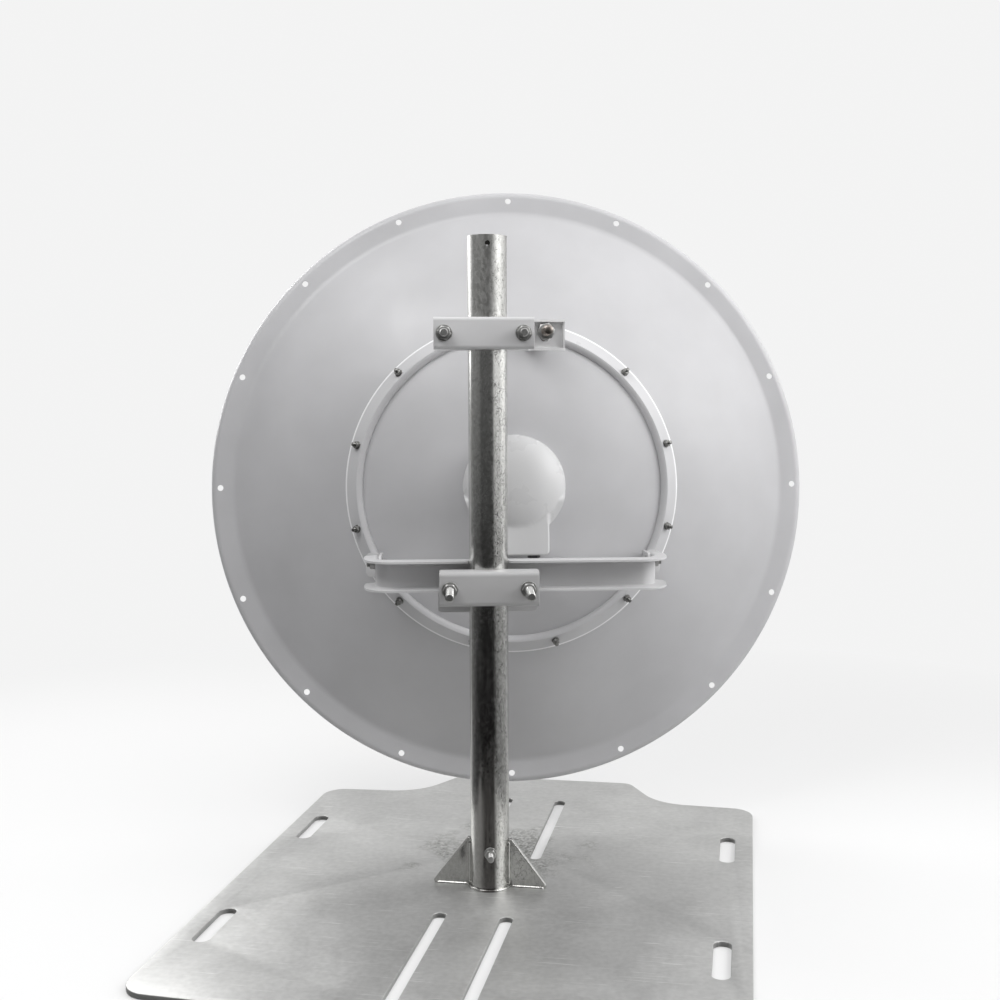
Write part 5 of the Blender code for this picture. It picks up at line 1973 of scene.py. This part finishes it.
@dataclass(frozen=True)
class ElevationRod(Assembly):
    """Threaded rod that sets the elevation, its bracket on the ring and its four nuts."""

    ring: RingMount
    rides_on: ClassVar[Body] = Body.DISH
    rod_x: float = 0.115
    rod_z: float = 1.099
    front_y: float = -0.042
    web: Pair = (0.03835, 0.04335)
    nut_play: float = 0.0028
    bracket_sides: Pair = (0.036, 0.020)
    bracket_levels: Pair = (0.022, 0.024)
    bracket_sheet: float = 0.004
    bracket_front: float = -0.004
    bracket_bend: float = 0.007
    bracket_play: float = 0.0016
    dome_share: float = 0.96
    dome_rise: float = 0.0042
    thread_out: float = 0.0052

    def build(self) -> None:
        """Make the bracket, the rod and its nuts."""
        drop = math.radians(DROP_DEG)
        middle = self.bracket_front + self.bracket_sheet / 2.0
        height = (self.rod_z - VERTEX[2] + middle * math.sin(drop)) / math.cos(drop)
        self.bracket(height)
        plate = VERTEX[1] + middle * math.cos(drop) + height * math.sin(drop) - self.front_y
        grip = self.bracket_sheet / 2.0 + self.bracket_play
        self.rod(plate - grip, plate + grip)
        for name, face, away in (("front", self.web[0] - self.nut_play, -1.0),
                                 ("rear", self.web[1] + self.nut_play, 1.0)):
            self.turned(f"rod_nut_{name}", f"elevation_nut_{name}",
                        Stack(M20, 60).washer().nut(Flats.TURNED),
                        (self.rod_x, face, self.rod_z), (0.0, away, 0.0), body=Body.NUTS)

    def bracket(self, height: float) -> None:
        """Make the bracket: sheet bent twice round the rod, standing on the ring.

        Args:
            height: Height of the rod's hole in the dish's axes.
        """
        across = self.rod_x - VERTEX[0]
        left, right = across - self.bracket_sides[0], across + self.bracket_sides[1]
        seat, bend = self.ring.top - GAP, self.bracket_bend
        turn_y = self.bracket_front + bend
        path = joined((left, seat), arc((left + bend, turn_y), bend, 180.0, 270.0, 8),
                      arc((right - bend, turn_y), bend, 270.0, 360.0, 8), (right, seat))
        level = np.linspace(height - self.bracket_levels[0], height + self.bracket_levels[1], 9)
        shell = Shell(self.ring.axes).grid(stacked(path[:, :1], path[:, 1:], level))
        self.fit(shell.sheet("bent_rod_bracket", self.bracket_sheet, -1.0), Slot.BRACKET_PAINT,
                 "rod_bracket")

    def rod(self, front: float, back: float) -> None:
        """Make the rod with the two nuts that hold it in the bracket.

        Args:
            front: Distance from the rod's end to the bracket's front nut.
            back: Distance to its rear nut.
        """
        stack = Stack(M20, 60).dome(self.dome_share, self.dome_rise)
        stack.thread(front - M20.nut_height, 0.0004)
        stack.nut(Flats.ASIDE).shank(back).nut(Flats.ASIDE)
        stack.thread(stack.at + self.thread_out).tip((0.0004, 0.9), (0.0008, 0.8))
        self.turned("threaded_elevation_rod", "elevation_rod", stack,
                    (self.rod_x, self.front_y, self.rod_z), material=self.finishes.browned)


@dataclass(frozen=True)
class Studio:
    """Pale floor, soft light from the upper right, and the camera.

    The room's and the ground's light go by rows of (angle from the camera's side towards the
    right, level).
    """

    mount: Axes
    pale: float = 0.90
    floor_radii: tuple[float, ...] = (0.0, 1.0, 2.0, 4.0, 8.0, 16.0, 40.0)
    floor_z: float = -0.0004
    floor_columns: int = 64
    floor_fade: Pair = (0.9, 2.6)
    floor_glow: Pair = (0.35, 1.0)
    aim: Triple = (0.05, 0.1, 0.75)
    room: tuple[Pair, ...] = (
        (-180.0, 0.80), (-122.0, 0.80), (-104.0, 0.30), (-40.0, 0.24), (-28.0, 0.13),
        (40.0, 0.13), (50.0, 0.90), (88.0, 1.00), (98.0, 1.50), (128.0, 1.50), (140.0, 0.80),
        (180.0, 0.80))
    ground: tuple[Pair, ...] = (
        (-180.0, 0.50), (-122.0, 0.50), (-104.0, 0.14), (-81.0, 0.075), (-60.0, 0.035),
        (-28.0, 0.013), (40.0, 0.013), (50.0, 0.10), (66.0, 0.17), (88.0, 0.22), (100.0, 0.28),
        (128.0, 0.35), (140.0, 0.50), (180.0, 0.50))
    horizon: Pair = (-0.16, 0.06)
    room_gain: float = 1.6
    camera_place: Triple = (-0.0617, -2.4921, 0.9857)
    turns_deg: Triple = (3.478, 3.186, -0.164)
    lens: float = 46.32
    shift: Pair = (-0.0342, -0.0389)

    def build(self) -> None:
        """Set up the view, the floor and the light."""
        bpy.context.scene.view_settings.view_transform = "Standard"
        self.camera()
        self.floor()
        self.world()
        self.light("side_box", (2.3, -0.55, 1.15), (1.5, 2.0), 11.5, False)
        self.light("key_box", (2.2, -0.9, 2.1), (1.4, 1.2), 22.0)
        self.light("top_box", (0.55, -1.15, 2.95), (2.2, 1.5), 9.0)
        self.light("left_box", (-1.2, -1.0, 2.9), (1.6, 1.4), 34.0)
        self.light("rear_box", (-1.9, 1.7, 1.9), (1.4, 1.8), 35.0)
        self.light("fill_box", (0.25, -2.2, 2.1), (1.6, 1.2), 4.0, False)

    def camera(self) -> None:
        """Stand the camera in the mount's axes: yaw to the right, pitch down, then roll."""
        yaw, pitch, roll = np.radians(self.turns_deg)
        ahead = np.array((math.sin(yaw) * math.cos(pitch), math.cos(yaw) * math.cos(pitch),
                          -math.sin(pitch)))
        side = np.array((math.cos(yaw), -math.sin(yaw), 0.0))
        top = np.cross(side, ahead)
        right = math.cos(roll) * side + math.sin(roll) * top
        up = -math.sin(roll) * side + math.cos(roll) * top
        turned = np.stack((right, up, -ahead)) @ self.mount.matrix
        matrix = Matrix(turned.T.tolist()).to_4x4()
        matrix.translation = Vector(self.mount.place(self.camera_place))
        data = bpy.data.cameras.new("photo_camera")
        data.lens = self.lens
        data.sensor_width = 36.0
        data.sensor_fit = "HORIZONTAL"
        data.shift_x, data.shift_y = self.shift
        data.clip_end = 200.0
        camera = bpy.data.objects.new("photo_camera", data)
        camera.matrix_world = matrix
        bpy.context.scene.collection.objects.link(camera)
        bpy.context.scene.camera = camera

    def floor(self) -> None:
        """Floor disc, matt near the object and of the backdrop's own brightness far away."""
        level = np.full(len(self.floor_radii), self.floor_z)
        grid = circles(self.floor_radii, level, self.floor_columns)
        floor = Shell(ROW).tube(grid[..., [0, 2, 1]]).solid("studio_floor")
        bench = Bench("studio_floor_paint", (0.80, 0.80, 0.80), 0.9, 0.0)
        bench.shader.inputs["Specular IOR Level"].default_value = 0.1
        far = bench.spread(bench.length(bench.place), *self.floor_fade, *self.floor_glow)
        seen = bench.node("ShaderNodeLightPath").outputs["Is Camera Ray"]
        glow = bench.node("ShaderNodeEmission",
                          {0: (1.0, 1.0, 1.0, 1.0), 1: bench.times(seen, self.pale)})
        mixed = bench.node("ShaderNodeMixShader",
                           {0: far, 1: bench.shader.outputs[0], 2: glow.outputs[0]})
        output = bench.tree.nodes["Material Output"]
        bench.tree.links.new(mixed.outputs[0], output.inputs["Surface"])
        floor.data.materials.append(bench.material)
        floor.visible_glossy = False

    def ramp(self, tree: Tree, around: Socket, levels: Sequence[Floats]) -> Socket:
        """Light by angle.

        Args:
            tree: The world's tree.
            around: Angle as a share of the whole turn.
            levels: Rows of (angle, level).

        Returns:
            The light as a share of the room's gain.
        """
        ramp = tree.node("ShaderNodeValToRGB", {0: around})
        stops = ramp.color_ramp.elements
        for angle, _ in levels[1:-1]:
            stops.new((angle + 180.0) / 360.0)
        for stop, (angle, level) in zip(stops, levels):
            stop.position = (angle + 180.0) / 360.0
            stop.color = (level / self.room_gain,) * 3 + (1.0,)
        return ramp.outputs[0]

    def world(self) -> None:
        """Room light by direction: pale for the camera, and else two ramps round the horizon.

        One ramp lies above the horizon and one under it, where the floor lies.
        """
        world = bpy.data.worlds.new("studio_room")
        world.use_nodes = True
        bpy.context.scene.world = world
        tree = Tree(world.node_tree)
        back = tree.tree.nodes["Background"]
        back.inputs["Color"].default_value = (1.0, 1.0, 1.0, 1.0)
        x, y, z = tree.parts(tree.node("ShaderNodeTexCoord").outputs["Generated"])
        around = tree.math("ARCTAN2", x, tree.times(y, -1.0))
        around = tree.spread(around, -math.pi, math.pi)
        under, over = (self.ramp(tree, around, levels) for levels in (self.ground, self.room))
        mixed = tree.node("ShaderNodeMix",
                          {0: tree.spread(z, *self.horizon), 2: under, 3: over},
                          data_type="FLOAT").outputs[0]
        seen = tree.node("ShaderNodeLightPath").outputs["Is Camera Ray"]
        chosen = tree.node("ShaderNodeMix", {0: seen, 2: tree.times(mixed, self.room_gain),
                                             3: self.pale}, data_type="FLOAT").outputs[0]
        tree.tree.links.new(chosen, back.inputs["Strength"])

    def light(self, name: str, place: Floats, size: Pair, power: float,
              mirrored: bool = True) -> None:
        """Hang a soft box that faces the dish.

        Args:
            name: Name of the light.
            place: Its place in the mount's axes.
            size: Its width and height.
            power: Its power in watts.
            mirrored: Whether it shows in reflections.
        """
        data = bpy.data.lights.new(name, "AREA")
        data.shape = "RECTANGLE"
        data.size, data.size_y = size
        data.energy = power
        lamp = bpy.data.objects.new(name, data)
        start, end = (Vector(self.mount.place(point)) for point in (place, self.aim))
        turn = (end - start).to_track_quat("-Z", "Y").to_matrix().to_4x4()
        lamp.matrix_world = Matrix.Translation(start) @ turn
        lamp.visible_glossy = mirrored
        bpy.context.scene.collection.objects.link(lamp)


def main() -> None:
    """Build the antenna from the floor plate up, then the studio."""
    logging.basicConfig(level=logging.INFO, format="%(message)s")
    mount = mount_axes()
    dish = mount.dipped(VERTEX, DROP_DEG)
    finishes = Finishes(dish)
    reflector = Reflector(finishes, dish)
    ring = RingMount(finishes, dish, reflector)
    assemblies = (FloorPlate(finishes, ROW), Mast(finishes, mount), UpperClamp(finishes, mount),
                  LowerClamp(finishes, mount), CrossMember(finishes, mount), reflector, ring,
                  FeedCover(finishes, dish, reflector), Feed(finishes, dish, reflector),
                  Pivots(finishes, mount, ring), ElevationRod(finishes, mount, ring))
    for assembly in assemblies:
        LOG.info("building the %s", type(assembly).__name__)
        assembly.build()
    Studio(mount).build()


if __name__ == "__main__":
    main()
